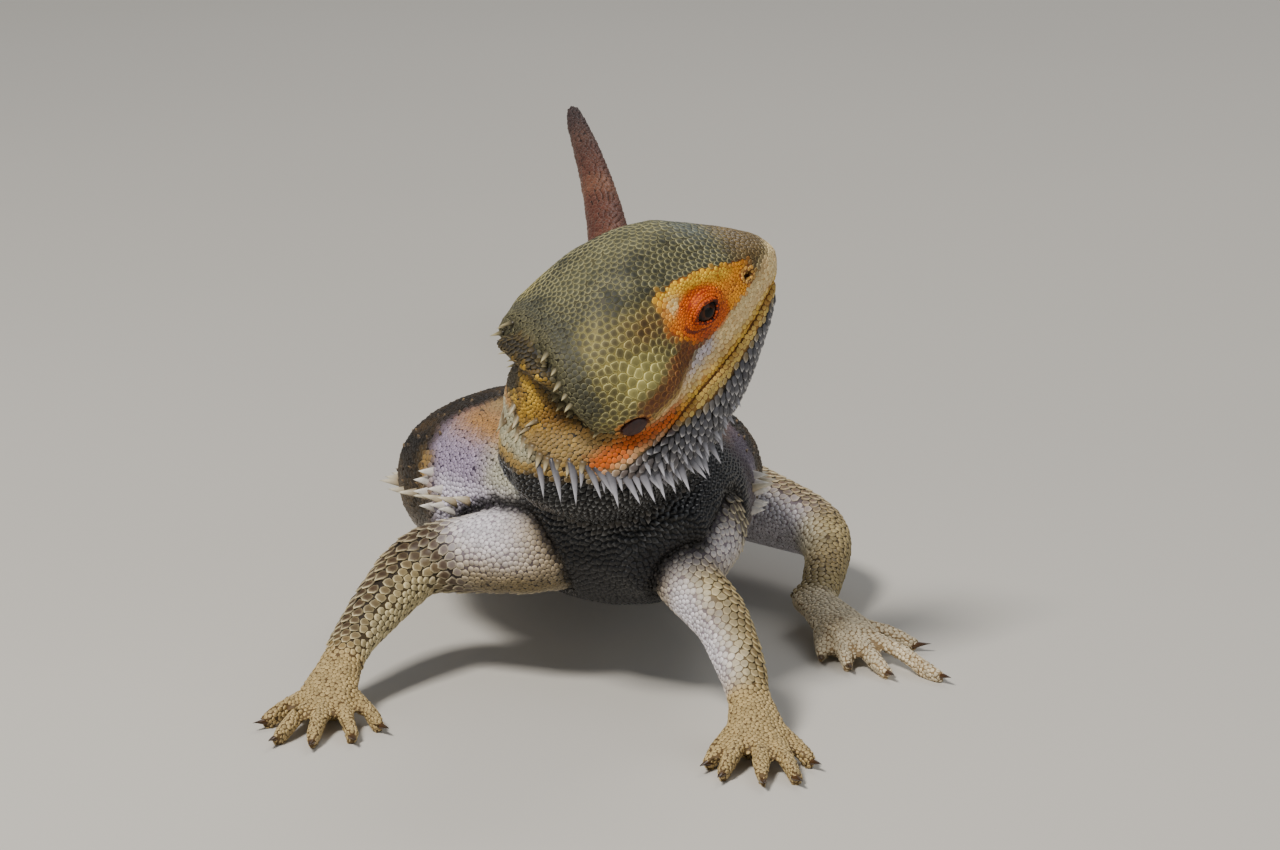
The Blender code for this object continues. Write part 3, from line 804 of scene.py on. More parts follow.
    def shape_brow(self) -> None:
        """Raises the blunt ridge that runs from the snout over each eye."""
        f, u, r = self.head.local(self.points).T
        gap = u - self.head.line(self.head.brow, f)
        here = ease(f, -36, -30) * ease(f, -2, -8) * ease(np.abs(r), 3, 6) * self.on("head")
        self.points = self.points + self.normals * (0.5 * bell((gap, 0, 1.3)) * here * MM)[:, None]

    def eye_axes(self, side: Side) -> tuple[Array, Array, Array, Array]:
        """Centre, outward axis, long axis and short axis of one eye.

        Args:
            side: which eye.

        Returns:
            The centre in metres and three unit vectors.
        """
        forward, up, right = self.head.axes()
        outward = (right * side.value + forward * 0.16 + up * 0.06).normalized()
        lengthwise = (forward * 0.92 + up * 0.30)
        lengthwise = (lengthwise - outward * lengthwise.dot(outward)).normalized()
        across = outward.cross(lengthwise)
        if across.dot(up) < 0:
            across.negate()
        centre = self.head.seat(self.head.eye, side)
        return tuple(np.array(v) for v in (centre, outward, lengthwise, across))

    def lid_level(self, points: Array, side: Side) -> Array:
        """How far points lie from the slit between the lids.

        Args:
            points: places.
            side: which eye.

        Returns:
            A level for each: 0 in the middle of the slit, 1 at its rim, and 99 behind the eye.
        """
        centre, outward, lengthwise, across = self.eye_axes(side)
        away = (points - centre) / MM
        a, b = away @ lengthwise, away @ across
        front = away @ outward
        level = (np.abs(a) / self.aperture[0]) ** LID_POWER + (np.abs(b) / self.aperture[1]) ** LID_POWER
        level = level ** (1 / LID_POWER)
        return np.where(front > 0, level, 99.0)

    def shape_eyes(self) -> None:
        """Opens the slit over each eyeball and lays the folds of the lids round it."""
        points = self.points
        for side in Side:
            centre = self.eye_axes(side)[0]
            level = self.lid_level(points, side)
            near = level < 3.4
            away = points[near] - centre
            radius = np.linalg.norm(away, axis=1) / MM
            q = level[near]
            uneven = 0.10 + 0.07 * lattice_noise(points[near], 1.1 * MM, 6)
            folds = uneven * np.cos(2 * np.pi * (q - 1.12) / 0.44) * ease(q, 3.0, 1.5)
            lid = np.maximum(radius, 4.12) + folds + 0.22 * bell((q, 1.14, 0.13))
            opened = 2.9 + (lid - 2.9) * ease(q, 0.90, 1.04)
            wanted = np.where(q < 3.2, opened, radius)
            blend = ease(q, 3.4, 2.7)
            points[near] = centre + unit(away) * ((radius + (wanted - radius) * blend) * MM)[:, None]

    def shape_mouth(self) -> None:
        """Presses the closed mouth's line into the skin between two full lips."""
        f, u, r = self.head.local(self.points).T
        gap = u - self.head.line(self.head.mouth, f)
        here = ease(f, -47, -42) * (np.abs(r) < 24) * (f < 4)
        groove = -0.62 * bell((gap, 0, 0.34))
        lips = 0.20 * bell((np.abs(gap), 1.15, 0.7))
        self.points = self.points + self.normals * ((groove + lips) * here * MM)[:, None]

    def shape_nostrils(self) -> None:
        """Sinks each nostril inside a low raised rim."""
        forward, up, _ = self.head.axes()
        for side in Side:
            away = (self.points - np.array(self.head.seat(self.head.nostril, side))) / MM
            long, short = away @ np.array(forward), away @ np.array(up)
            reach = np.hypot(long * 0.62 + short * 0.3, short * 1.05 - long * 0.2)
            deep = -1.3 * np.exp(-(reach / 0.55) ** 4) + 0.32 * bell((reach, 1.15, 0.38))
            near = np.linalg.norm(away, axis=1) < 4
            self.points = self.points + self.normals * (np.where(near, deep, 0) * MM)[:, None]

    def shape_folds(self) -> None:
        """Sets the jowls off from the neck and adds the folds of neck, shoulders and joints."""
        points, normals = self.points, self.normals
        local = self.head.local(points)
        behind = self.head.behind_jowl(local)
        skull = self.on("head", "neck") * ease(np.abs(local[:, 2]), 2, 6) * ease(local[:, 1], -14, -9)
        crease = -1.5 * bell((behind, 1.3, 1.0)) + 0.55 * bell((behind, -0.9, 1.1))
        neck = self.on("neck", "head") * ease(behind, 2, 6)
        wave = lattice_noise(points * np.array([1.6, 1.0, 0.8]), 4.5 * MM, 3)
        body = self.on("trunk_front", "trunk_rear", "hips") * ease(normals[:, 2], 0.5, 0.0)
        flank = lattice_noise(points * np.array([0.6, 2.4, 0.8]), 7 * MM, 4)
        limbs = -1.5 * self.border(*ARMS) - 0.6 * self.border(*LEGS)
        rise = crease * skull + 0.45 * wave * neck + 0.30 * flank * body + limbs
        self.points = points + normals * (rise * MM)[:, None]

    def unwrap(self) -> None:
        """Unwraps the skin's own shape into the map named OFBake."""
        select_only(self.obj)
        mesh = self.obj.data
        while mesh.uv_layers:
            mesh.uv_layers.remove(mesh.uv_layers[0])
        mesh.uv_layers.new(name="OFBake")
        bpy.ops.object.mode_set(mode="EDIT")
        bpy.ops.mesh.select_all(action="SELECT")
        bpy.ops.uv.smart_project(angle_limit=math.radians(80), island_margin=0.0005)
        bpy.ops.object.mode_set(mode="OBJECT")


# ------------------------------------------------------------------ markings


@dataclass
class Markings:
    """Fields on the skin: colours of scale, rim and gap, and size, lie, height and gloss of the scales.

    Local places are in the head's frame and behind is the distance behind the jowl's edge, all in
    millimetres. Skull is the share of the head before that edge, warm that of the orange stripe.
    """

    skin: Skin
    head: HeadFrame
    points: Array = None
    normals: Array = None
    local: Array = None
    behind: Array = None
    skull: Array = None
    warm: Array = None
    node: Array = None
    centre: Array = None
    rim: Array = None
    gap: Array = None
    size: Array = None
    lift: Array = None
    rise: Array = None
    rough: Array = None
    flow: Array = None

    def build(self) -> None:
        """Fills all fields, blends them across borders and colours the skin."""
        mesh = self.skin.obj.data
        self.points = coordinates(mesh)
        self.normals = coordinates(mesh, "normal")
        self.local = self.head.local(self.points)
        self.behind = self.head.behind_jowl(self.local)
        self.node = self.skin.node
        count = len(self.points)
        self.centre = np.tile(tone(90, 76, 52), (count, 1))
        self.rim = np.tile(tone(140, 120, 84), (count, 1))
        self.gap = np.tile(tone(46, 38, 28), (count, 1))
        self.size = np.full(count, 1.3)
        self.lift = np.full(count, 0.08)
        self.rise = np.full(count, 0.11)
        self.rough = np.full(count, 0.48)
        self.paint_trunk()
        self.paint_limbs()
        self.paint_tail()
        self.blend(10)
        self.paint_shoulders()
        self.blend(3)
        self.paint_neck()
        self.paint_head()
        self.blend(1)
        self.paint_eyes()
        self.lay()
        tint(mesh, self.gap, 0.6)

    def on(self, *names: str) -> Array:
        """1 on the skin of the named nodes, 0 elsewhere."""
        return self.skin.on(*names).astype(float)

    def mix(self, mask: Array, paint: str, size: float | None = None, lift: float | None = None,
            rise: float | None = None, rough: float | None = None) -> None:
        """Paints the fields where the mask is near 1; a field given as None stays as it is.

        Args:
            mask: share of the new paint at each point.
            paint: display colours in hexadecimal of the middle of the scales, of their rims and
                of the skin between them.
            size: distance between scales in millimetres.
            lift: height of the free rear edge as a share of the size.
            rise: height of the middle as a share of the size.
            rough: roughness of the surface.
        """
        m = mask[:, None]
        for name, colour in zip(("centre", "rim", "gap"), paint.split()):
            setattr(self, name, getattr(self, name) * (1 - m) + tone(*bytes.fromhex(colour)) * m)
        for name, value in (("size", size), ("lift", lift), ("rise", rise), ("rough", rough)):
            if value is not None:
                setattr(self, name, getattr(self, name) * (1 - mask) + value * mask)

    def blend(self, rounds: int) -> None:
        """Softens the borders between regions.

        Args:
            rounds: how often values move towards those of their neighbours.
        """
        stacked = np.column_stack([self.centre, self.rim, self.gap, self.size, self.lift, self.rise,
                                   self.rough])
        stacked = self.skin.averaged(stacked, SOFT, rounds)
        self.centre, self.rim, self.gap = stacked[:, :3], stacked[:, 3:6], stacked[:, 6:9]
        self.size, self.lift, self.rise, self.rough = stacked[:, 9:].T

    def paint_trunk(self) -> None:
        """Near-black back flecked with gold, paired pale blotches, and a greyer belly."""
        trunk = self.on("trunk_front", "trunk_rear", "hips", "neck")
        up = self.normals[:, 2]
        p = self.points / MM
        self.mix(trunk, "0f0c0a 30261a 060504", 1.35, 0.20, 0.14, 0.56)
        middle = self.spine_offset(p)
        pairs = bell((np.abs(middle), 9.0, 3.2)) * ease(np.sin(p[:, 1] / 3.4), 0.1, 0.8)
        pairs = pairs * ease(up, 0.5, 0.8) * ease(lattice_noise(p, 5.0, 8), -0.6, 0.1)
        self.mix(trunk * pairs * 0.75, "967042 bc9862 46321e")
        flecks = ease(lattice_noise(p, 1.5, 5) + 0.5 * lattice_noise(p, 5.0, 6), 0.42, 0.75)
        calm = 1 - 0.72 * ease(p[:, 1], -104, -118)
        self.mix(trunk * flecks * 0.8 * calm, "8c6632 ba9454 281d11")
        side = trunk * ease(up, 0.30, -0.15) * calm
        self.mix(side * 0.6, "584a38 8e7e64 241d17", 1.25, 0.14)
        spots = ease(lattice_noise(p, 3.6, 9), 0.15, 0.55)
        self.mix(side * spots * 0.6, "967e5a baa47e 463828")
        self.mix(trunk * ease(up, -0.35, -0.75), "96908a bab4ac 544e4a", 1.25, 0.06)

    def spine_offset(self, p: Array) -> Array:
        """Sideways distance in millimetres from the middle of the back.

        Args:
            p: places in millimetres.

        Returns:
            Distances, negative on the right side.
        """
        boxes = [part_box(name) for name in ("neck", "trunk_front", "trunk_rear", "hips", "tail_base")]
        middles = sorted(((low.y + high.y) / 2 / MM, (low.x + high.x) / 2 / MM) for low, high in boxes)
        return p[:, 0] - np.interp(p[:, 1], *zip(*middles))

    def paint_shoulders(self) -> None:
        """Fine lavender scales before each shoulder, tawny above, whitish below; painted shadow makes the
        chest near-black and dims the front of the left shoulder.
        """
        p = self.points / MM
        trunk = self.on("trunk_front")
        across = np.abs(p[:, 0] + 1.0) + 1.6 * lattice_noise(p, 4.5, 24)
        forward = ease(p[:, 1] + 3.0 * lattice_noise(p, 6.0, 25), -116, -123)
        # On the left the patch and its bands fade where they face forward, as painted shadow of the head.
        unshadowed = np.where(p[:, 0] < 0, 1.0, 0.45 * ease(-self.normals[:, 1], 0.25, -0.05))
        flecks = ease(lattice_noise(p, 1.2, 23), -0.1, 0.3) * bell((across, 37.0, 2.2))
        self.mix(trunk * forward * flecks * ease(p[:, 2], 33, 37), "b08846 dab874 402e18")
        patch = trunk * ease(across, 36.5, 33.5) * ease(across, 11, 15) * forward * ease(p[:, 2], 53, 50)
        patch = patch * ease(p[:, 2], 22, 30) * unshadowed
        self.mix(patch, "746282 b2a4ba 32253c", 0.94, 0.04, 0.20, 0.44)
        inner = patch * ease(across, 27, 21)
        self.mix(inner * 0.85, "96947c c4c2a8 54523e")
        white = patch * ease(p[:, 2], 42.0, 38.0)
        self.mix(white, "c6bed2 e0dae6 7c7086", 0.92)
        top = trunk * ease(across, 35, 32) * forward * bell((p[:, 2], 50.5, 2.6)) * unshadowed
        self.mix(top, "8c5c2c be9054 422a14", 0.95, 0.10)
        cream = trunk * forward * bell((p[:, 2], 53.0, 1.0), (across, 25.5, 4.5)) * unshadowed
        self.mix(cream * 0.8, "c4a66c dec692 6e542e")
        # Near-black chest, reaching further out on the left: painted shadow of the head and beard.
        reach = across - 17.0 * (p[:, 0] > 0)
        chest = trunk * ease(p[:, 1], -136, -146) * ease(reach, 20, 13)
        self.mix(chest, "0b0b0c 3a3a3e 040405", 1.2, 0.20, 0.14, 0.30)
        f, u, _ = self.local.T
        pouch = trunk * ease(u, -41, -36) * ease(f, -66, -60) * ease(across, 19, 14)
        pouch = pouch * ease(p[:, 1], -127, -134)
        self.mix(pouch, "070708 808286 020203", 1.2, 0.28, 0.16, 0.22)

    def paint_limbs(self) -> None:
        """Brown net with cream edges on the outer sides, whitish inner sides partly brightened as painted
        light, painted shade low on the upper arms, golden hands, cream feet.
        """
        up, front, out = self.normals[:, 2], -self.normals[:, 1], self.normals[:, 0]
        p = self.points / MM
        net = ("402b1a fff2cc 1e140c", 2.35, 0.24, 0.10, 0.50)
        white = ("dad4dc e8e4ea 9c909a", 0.95, 0.05, 0.10, 0.5)
        arms = self.on("upper_arm_right", "upper_arm_left")
        right = p[:, 0] < 0
        self.mix(arms, *net)
        # Pale fronts of the upper arms: partly their own pale colour, partly painted light on the sides
        # facing the lamp.
        inner = ease(p[:, 0] + 0.35 * (p[:, 2] - 30), -33.5, -30.0)
        pale_and_lit = np.where(right, ease(front + 0.25 * up, -0.1, 0.25) * inner,
                       ease(front * 0.9 - up * 0.35, 0.15, 0.5))
        self.mix(arms * pale_and_lit, *white)
        # Tan towards the lower edge, and on the right arm towards the chest: painted shade, flecked.
        speck = ease(lattice_noise(p, 2.2, 11), -0.3, 0.5)
        low = np.maximum(ease(p[:, 2], 33, 25), ease(p[:, 0], -24, -13) * right)
        self.mix(arms * pale_and_lit * low * (0.78 + 0.22 * speck), "745c36 bea670 3e2f1a", 1.1)
        # Painted shade on the downward-facing side of the right upper arm.
        self.mix(arms * pale_and_lit * right * ease(up, -0.15, -0.6) * 0.8, "423822 7a6a46 1e180e")
        fore = self.on("forearm_right", "forearm_left")
        self.mix(fore, "3e2918 fcecbc 1e140c", 2.25, 0.24, 0.10, 0.50)
        inner = self.on("forearm_right") * ease(out + 0.5 * front, 0.45, 0.80)
        self.mix(inner, "ae9c70 d6c89a 54462c", 1.2, 0.08)
        turned = -out + 0.45 * front
        outer = self.on("forearm_left") * ease(turned, 0.1, -0.2)
        self.mix(outer * 0.75, "8a7242 d2be88 584628", 1.7)
        pale = self.on("forearm_left") * ease(turned, -0.1, 0.2)
        self.mix(pale, "c6b88e e4d8b0 8c7a52", 1.6, 0.12)
        self.mix(self.on("forearm_left") * ease(turned, 0.50, 0.85), *white)
        hands = self.on("hand_right", "hand_left")
        self.mix(hands, "a68a54 cab27e 604a2a", 0.88, 0.07, 0.10, 0.42)
        thighs = self.on("thigh_left", "thigh_right")
        self.mix(thighs, "6c523a f2e2b8 3a2a1c", 2.1, 0.20, 0.10, 0.48)
        # Pale front of the thighs, partly their own colour and partly painted light where the lamp falls.
        self.mix(thighs * ease(front * 0.9 - up * 0.55, -0.12, 0.16), *white)
        shanks = self.on("shank_left", "shank_right")
        self.mix(shanks, "78663e baa876 42341e", 1.35, 0.14, 0.11, 0.46)
        bands = 0.5 + 0.5 * np.sin(p[:, 2] * 1.9 + lattice_noise(p, 6, 12))
        self.mix(shanks * ease(bands, 0.5, 0.9) * 0.8, "b09a68 d0be8e 745e3c")
        self.mix(shanks * ease(front - 0.5 * out, 0.3, 0.8) * ease(p[:, 2], 6, 10) * 0.85,
                 "ccc6b0 e0dac8 86785c", 1.2)
        feet = self.on("foot_left", "foot_right")
        self.mix(feet, "d6c49e e8dabc 927a56", 0.95, 0.07, 0.10, 0.46)
        self.mix(feet * ease(lattice_noise(p, 4.5, 14), 0.2, 0.6) * 0.5, "b89a68 d0b88c 745a3a")
        limbs = arms + fore + thighs + shanks
        dark = ease(lattice_noise(p, 6.0, 13) + 0.4 * up, 0.3, 0.75) * (1 - arms * pale_and_lit)
        self.mix(limbs * dark * 0.5, "362617 baa070 20160e")

    def paint_tail(self) -> None:
        """Reddish-brown tail with paler stripes, darker and greyer towards its tip."""
        tail = self.on("tail_base", "tail_middle", "tail_tip")
        p = self.points / MM
        self.mix(tail, "5c3428 a8765c 26140f", 1.5, 0.26, 0.14, 0.44)
        bars = ease(np.sin(p[:, 1] / 6.2 + lattice_noise(p, 14, 21) * 1.4), 0.1, 0.8)
        self.mix(tail * bars * 0.5, "885a42 c09674 42281e")
        under = ease(self.normals[:, 2], -0.1, -0.7)
        self.mix(tail * under, "9e826c bca28a 5a4436")
        end = self.on("tail_tip") * ease(p[:, 1], 165, 225)
        self.mix(end, "3e302e 68544e 1c1414", 1.15)

    def paint_neck(self) -> None:
        """Golden granules behind the jowl, dark along the nape, and painted shade in the creases of neck and
        arms.
        """
        f, u, r = self.local.T
        behind = self.behind
        both = self.on("head", "neck", "beard")
        gold = both * ease(behind, 0.3, 1.3) * ease(u, 13.5, 9.5) * ease(u, -18.5, -15.5)
        p = self.points / MM
        noise = lattice_noise(p, 1.3, 17) + 0.6 * lattice_noise(p, 4.0, 18)
        self.mix(gold, "ba8e1e e4be54 261a08", 0.80, 0.14, 0.18, 0.56)
        self.mix(gold * ease(noise, -0.3, 0.45) * 0.8, "5c401a 926e34 1c1308")
        tan = gold * ease(u, -8.5, -12)
        self.mix(tan * 0.75, "866c40 ccb680 302313", 1.0, 0.22)
        bulge = gold * bell((behind, 3.2, 2.4), (u, -9.0, 3.2))
        self.mix(bulge * 0.7, "7c521e b08038 2c1c0a")
        # Painted shade in the crease just behind the jowl's edge.
        shade = gold * bell((behind, 1.3, 1.2))
        self.mix(shade * 0.9, "1c160d 46361c 080604")
        far = self.on("neck") * ease(f, -64, -69)
        self.mix(far, "604a2e 967a52 281d11", 0.9)
        facing = self.normals @ unit(np.array([0.15, 1.0, 0.35]))
        level = np.interp(u, (-12.0, -9.0, -3.0, 8.0), (0.30, -0.28, -0.60, -0.70))
        level = np.where(self.normals[:, 0] > 0.2, 0.2, level)
        ridge = ease(behind, 0.5, 2.0) * ease(facing, level - 0.10, level + 0.12) * ease(u, -10, -7)
        nape = ease(behind, 0.0, 1.5) * ease(u + 0.25 * behind, 7.5, 10.5)
        self.mix(both * np.maximum(nape, ridge), "242018 706242 0c0a07", 1.15, 0.24)
        edge = r - np.interp(u, (-14.0, -13.2, -11.7, -11.2, -9.4, -7.5), (9.9, 8.6, 5.0, 0.0, -2.0, -3.5))
        fold = both * ease(f, -57, -59) * ease(u, -15.0, -14.0) * ease(u, -6.0, -7.5) * (r > -20)
        beyond = fold * ease(edge, 0.2, -0.8)
        self.mix(beyond, "948e74 c2bea2 4e4a38", 0.90, 0.06)
        self.mix(beyond * ease(u, -10.5, -8.5), "8e6232 be9256 422c16")
        # Near-black line along the neck fold's edge: painted shade under the fold.
        self.mix(fold * bell((edge, -0.7, 0.8)), "0e0b08 282016 050403")
        # Near-black band round the borders of the arms: painted shade in the creases between arms and body.
        share = self.skin.spread(7, *ARMS)
        crease = ease(share, 0.05, 0.18) * ease(share, 0.80, 0.62)
        self.mix(crease, "0a0807 181412 030303", 0.85)

    def paint_head(self) -> None:
        """Paints crown, lips, cheeks and beard, each over the one before."""
        self.skull = self.on("head", "lower_jaw", "beard") * ease(self.behind, 1.2, 0.2)
        self.paint_crown()
        self.paint_lips()
        self.paint_cheeks()
        self.paint_beard()

    def paint_crown(self) -> None:
        """Olive crown with dusky clouds, brown snout and honeycombed temples."""
        skull, behind = self.skull, self.behind
        f, u, r = self.local.T
        a = np.abs(r)
        p = self.points / MM
        self.mix(skull, "2c2d23 aca67a 46422e", 1.32, 0.05, 0.13, 0.60)
        dusk = ease(lattice_noise(p, 3.4, 31) + 0.45 * lattice_noise(p, 1.5, 32), 0.0, 0.5)
        self.mix(skull * dusk * 0.8, "22251f 5c5a42 201f18")
        high = skull * ease(a, 6, 2) * ease(u, 12, 15)
        self.mix(high * 0.45, "585842 aea87a 5c583c")
        blue = skull * bell((f, -16.5, 4.0), (r, 0, 5.0)) * ease(u, 9, 11) * 0.75
        self.mix(blue, "4a5456 7c8276 3a3c38")
        snout = skull * ease(f, -15, -8) * ease(u, 3.0, 6.5)
        self.mix(snout, "5c4a2c 8e784c 46361e", 1.05, 0.04, 0.08, 0.36)
        temple = skull * ease(f, -26, -31) * ease(u, 14, 10) * ease(a, 8, 12)
        self.mix(temple, "4a4226 c6bc7c 847842", 1.62, 0.02, 0.09, 0.62)
        brown = temple * bell((f, -36, 5.5), (u, 8.0, 3.4))
        self.mix(brown * 0.85, "482e16 a68446 624824")
        domes = skull * np.exp(-(((f + 41.5) / 5.6) ** 2 + ((u - 1.0) / 4.6) ** 2) ** 1.6)
        self.mix(domes, "867e46 d8d086 a09450", 2.30, 0.02, 0.11, 0.56)
        rear = skull * ease(behind, -6.5, -3.0) * ease(u, 14, 10) * ease(u, -7, -3)
        self.mix(rear * 0.9, "36372e 706e58 1e1d16", 1.0, 0.10, 0.13, 0.60)
        brink = skull * ease(behind, -2.4, -0.6) * ease(u, 14, 10)
        self.mix(brink * 0.85, "423f2c 86805c 16130d", 0.95, 0.12)

    def paint_lips(self) -> None:
        """Cream upper lip with a lilac and a golden stretch, golden lower lip, and the seam between."""
        skull = self.skull
        f, u, r = self.local.T
        top, mouth, low = (self.head.line(rows, f)
                           for rows in (self.head.upper_lip, self.head.mouth, self.head.lower_lip))
        band = skull * ease(u, top + 0.7, top - 0.3) * ease(u, mouth - 0.2, mouth + 0.2)
        streak = lattice_noise(np.column_stack([f * 0.35, u * 1.6, r * 0.4]), 1.6, 33)
        self.mix(band, "e6cc92 f2dca8 c8a46a", 0.85, 0.03, 0.05, 0.52)
        self.mix(band * ease(streak, 0.1, 0.6) * 0.5, "c29868 d6b484 986c42")
        lilac = band * ease(f, -19.5, -23) * ease(f, -33, -30) * ease(u, mouth + 3.4, mouth + 4.6)
        self.mix(lilac, "beb4be e0dce2 705c60", 1.1, 0.05, 0.09)
        gold = band * ease(u, mouth + 2.1, mouth + 1.1) * ease(f, -42, -34)
        self.mix(gold, "deb43a eaca5c aa7822", 0.95, 0.03, 0.07)
        lower = skull * ease(u, low - 0.4, low + 0.4) * ease(u, mouth + 0.2, mouth - 0.2)
        self.mix(lower, "ceac52 e4ca7c 966c2c", 0.95, 0.03, 0.07, 0.46)
        seam = skull * bell((u, mouth, 0.42)) * ease(f, -43, -36)
        self.mix(seam, "96501a a86224 54240c")

    def paint_cheeks(self) -> None:
        """Brown band from eye to ear, its tan lower edge, and the orange stripe of the jowl."""
        skull = self.skull
        f, u, _ = self.local.T
        above, below, glow = (self.head.line(rows, f)
                              for rows in (self.head.cheek_top, self.head.cheek_foot, self.head.stripe))
        dark = skull * ease(u, above + 0.5, above - 0.5) * ease(u, below - 0.5, below + 0.5)
        dark = dark * ease(f, -22, -26) * ease(f, -47, -42)
        self.mix(dark, "5a3016 966836 704622", 1.2, 0.03, 0.07)
        edge = skull * bell((u, below - 1.0, 0.8)) * ease(f, -27, -31) * ease(f, -46, -42)
        self.mix(edge * 0.8, "b2803e cca05a 805426", 1.0)
        warm = self.on("head", "lower_jaw", "beard", "neck") * np.exp(-((u - glow) / 2.0) ** 4)
        self.warm = warm * ease(f, -30, -37) * ease(f, -56.5, -54.0)
        self.mix(self.warm, "be5204 d47410 5c2404", 0.95, 0.10, 0.12, 0.56)

    def paint_beard(self) -> None:
        """Grey pointed scales under the lips, rusty at the rear, and the black throat."""
        f, u, _ = self.local.T
        p = self.points / MM
        low, foot = self.head.line(self.head.lower_lip, f), self.head.line(self.head.beard_foot, f)
        under = self.skull * ease(u, low + 0.3, low - 0.5) * (1 - 0.9 * self.warm)
        self.mix(under, "58575c e8e7ea 080708", 1.70, 0.36, 0.18, 0.34)
        rusty = under * ease(f, -36, -44) * ease(lattice_noise(p, 2.6, 35), -0.5, 0.3)
        self.mix(rusty * 0.6, "68584c d8cec4 0e0b0a")
        throat = self.on("head", "lower_jaw", "beard") * ease(u, foot - 0.2, foot - 1.6)
        self.mix(throat, "070708 96989c 020203", 1.2, 0.30, 0.16, 0.22)

    def paint_eyes(self) -> None:
        """Paints eyes, nostrils and ears, then varies the size of all scales a little."""
        for side in Side:
            mine = self.on("head") * ease(self.local[:, 2] * side.value, 1.5, 3.0)
            self.paint_eye(side, mine)
            self.paint_openings(side, mine)
        noise = lattice_noise(self.points / MM, 1.8, 34)
        self.size = np.clip(self.size * (1 + 0.20 * noise), 0.48, 3.0)

    def paint_eye(self, side: Side, mine: Array) -> None:
        """Yellow patch, orange ring, and the darker folds and rims of the lids.

        Args:
            side: which eye.
            mine: share of each point that belongs to this side of the head.
        """
        f, u, _ = self.local.T
        brow, foot = u - self.head.line(self.head.brow, f), self.head.line(self.head.patch_foot, f)
        level = self.skin.lid_level(self.points, side)
        patch = mine * ease(brow, 0.2, -0.9) * ease(u, foot - 0.3, foot + 0.9)
        patch = patch * ease(f, -33.5, -30.0) * ease(f, -7.0, -11.0)
        self.mix(patch, "e4880a f2a81e aa5406", 0.66, 0.03, 0.05, 0.58)
        upper = patch * ease(brow, -4.2, -1.6) * ease(f, -12, -16)
        self.mix(upper, "f4bc1c fad040 c8800e")
        pale = mine * bell((f, -28.6, 1.7), (u, 8.6, 1.9))
        self.mix(pale * 0.95, "f6de96 faeab6 d6a44e", 0.9)
        reach = np.hypot((f + 22.7) * 0.92 + (u - 4) * 0.15, (u - 3.4) * 1.02)
        ring = mine * ease(reach, 6.6, 5.4)
        self.mix(ring, "cc5200 de6c00 962e00", 0.58, 0.03, 0.05, 0.60)
        rear = mine * bell((f, -29.5, 2.4), (u, 4.6, 1.7))
        self.mix(rear * 0.9, "ea7008 f28a1a b04606", 0.7)
        front = mine * bell((f, -14.5, 3.2), (u, 4.2, 1.7))
        self.mix(front * 0.8, "d67618 e69630 964e10", 0.75)
        inner = mine * ease(level, 1.55, 1.15)
        self.mix(inner, "b03a08 c84e0e 541a06", 0.56)
        margin = mine * ease(level, 1.16, 1.02)
        self.mix(margin, "280e06 3c1608 100604", 0.5)
        crescent = mine * bell((level, 2.15, 0.17)) * ease(u - 3.6 + 0.25 * (f + 22.7), -0.6, -2.2)
        self.mix(crescent * 0.9, "601e0a 822c0e 2c0e06")
        under = mine * bell((f, -23.5, 3.6), (u, -1.7, 1.2))
        self.mix(under * 0.8, "a84016 be5824 5c220c", 0.8)

    def paint_openings(self, side: Side, mine: Array) -> None:
        """Rims of the nostril and the ear, painted shade in the nostril's pit, and the dark pit of the ear.

        Args:
            side: which side of the head.
            mine: share of each point that belongs to this side.
        """
        mirror = np.array([1, 1, side.value])
        spot = np.linalg.norm(self.local - np.array(self.head.nostril) * mirror, axis=1)
        rim = mine * ease(spot, 2.6, 1.5)
        self.mix(rim, "ce963e e4b662 7a4c1e", 0.72)
        # Near-black pit of the nostril: painted shade in the opening.
        self.mix(mine * ease(spot, 1.0, 0.6), "100805 180c08 080403")
        pit = np.linalg.norm((self.local - np.array(self.head.ear) * mirror) / (3.5, 2.4, 4.5), axis=1)
        self.mix(mine * ease(pit, 1.35, 1.1) * 0.8, "bc7834 d69c58 683818", 0.8)
        self.mix(mine * ease(pit, 1.08, 0.88), "3a140a 501e10 1e0a06", 0.7)

    def lay(self) -> None:
        """Fills the direction in which the scales point: backwards, and along each limb."""
        centres = {name: np.array(mean_of(list(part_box(name)))) for name in self.skin.flesh}
        forward, up, _ = (np.array(v) for v in self.head.axes())
        ways = {name: np.array([0.0, 1.0, 0.0]) for name in self.skin.flesh}
        ways["head"] = -forward
        ways["lower_jaw"] = -forward * 0.8 - 0.6 * up
        ways["beard"] = -forward * 0.45 - up * 0.9
        ways["neck"] = np.array([0.1, 0.8, -0.6])
        for limb in (ARMS[:3], ARMS[3:], LEGS[:3], LEGS[3:]):
            ways[limb[0]] = centres[limb[1]] - centres[limb[0]]
            ways[limb[1]] = centres[limb[2]] - centres[limb[0]]
            ways[limb[2]] = (centres[limb[2]] - centres[limb[1]]) * np.array([1, 1, 0.2])
        table = np.array([unit(ways[name]) for name in self.skin.flesh])
        flow = self.skin.averaged(table[self.node], SOFT, 14)
        flow = flow - self.normals * np.sum(flow * self.normals, axis=1, keepdims=True)
        self.flow = unit(flow)


# ------------------------------------------------------------------ scales


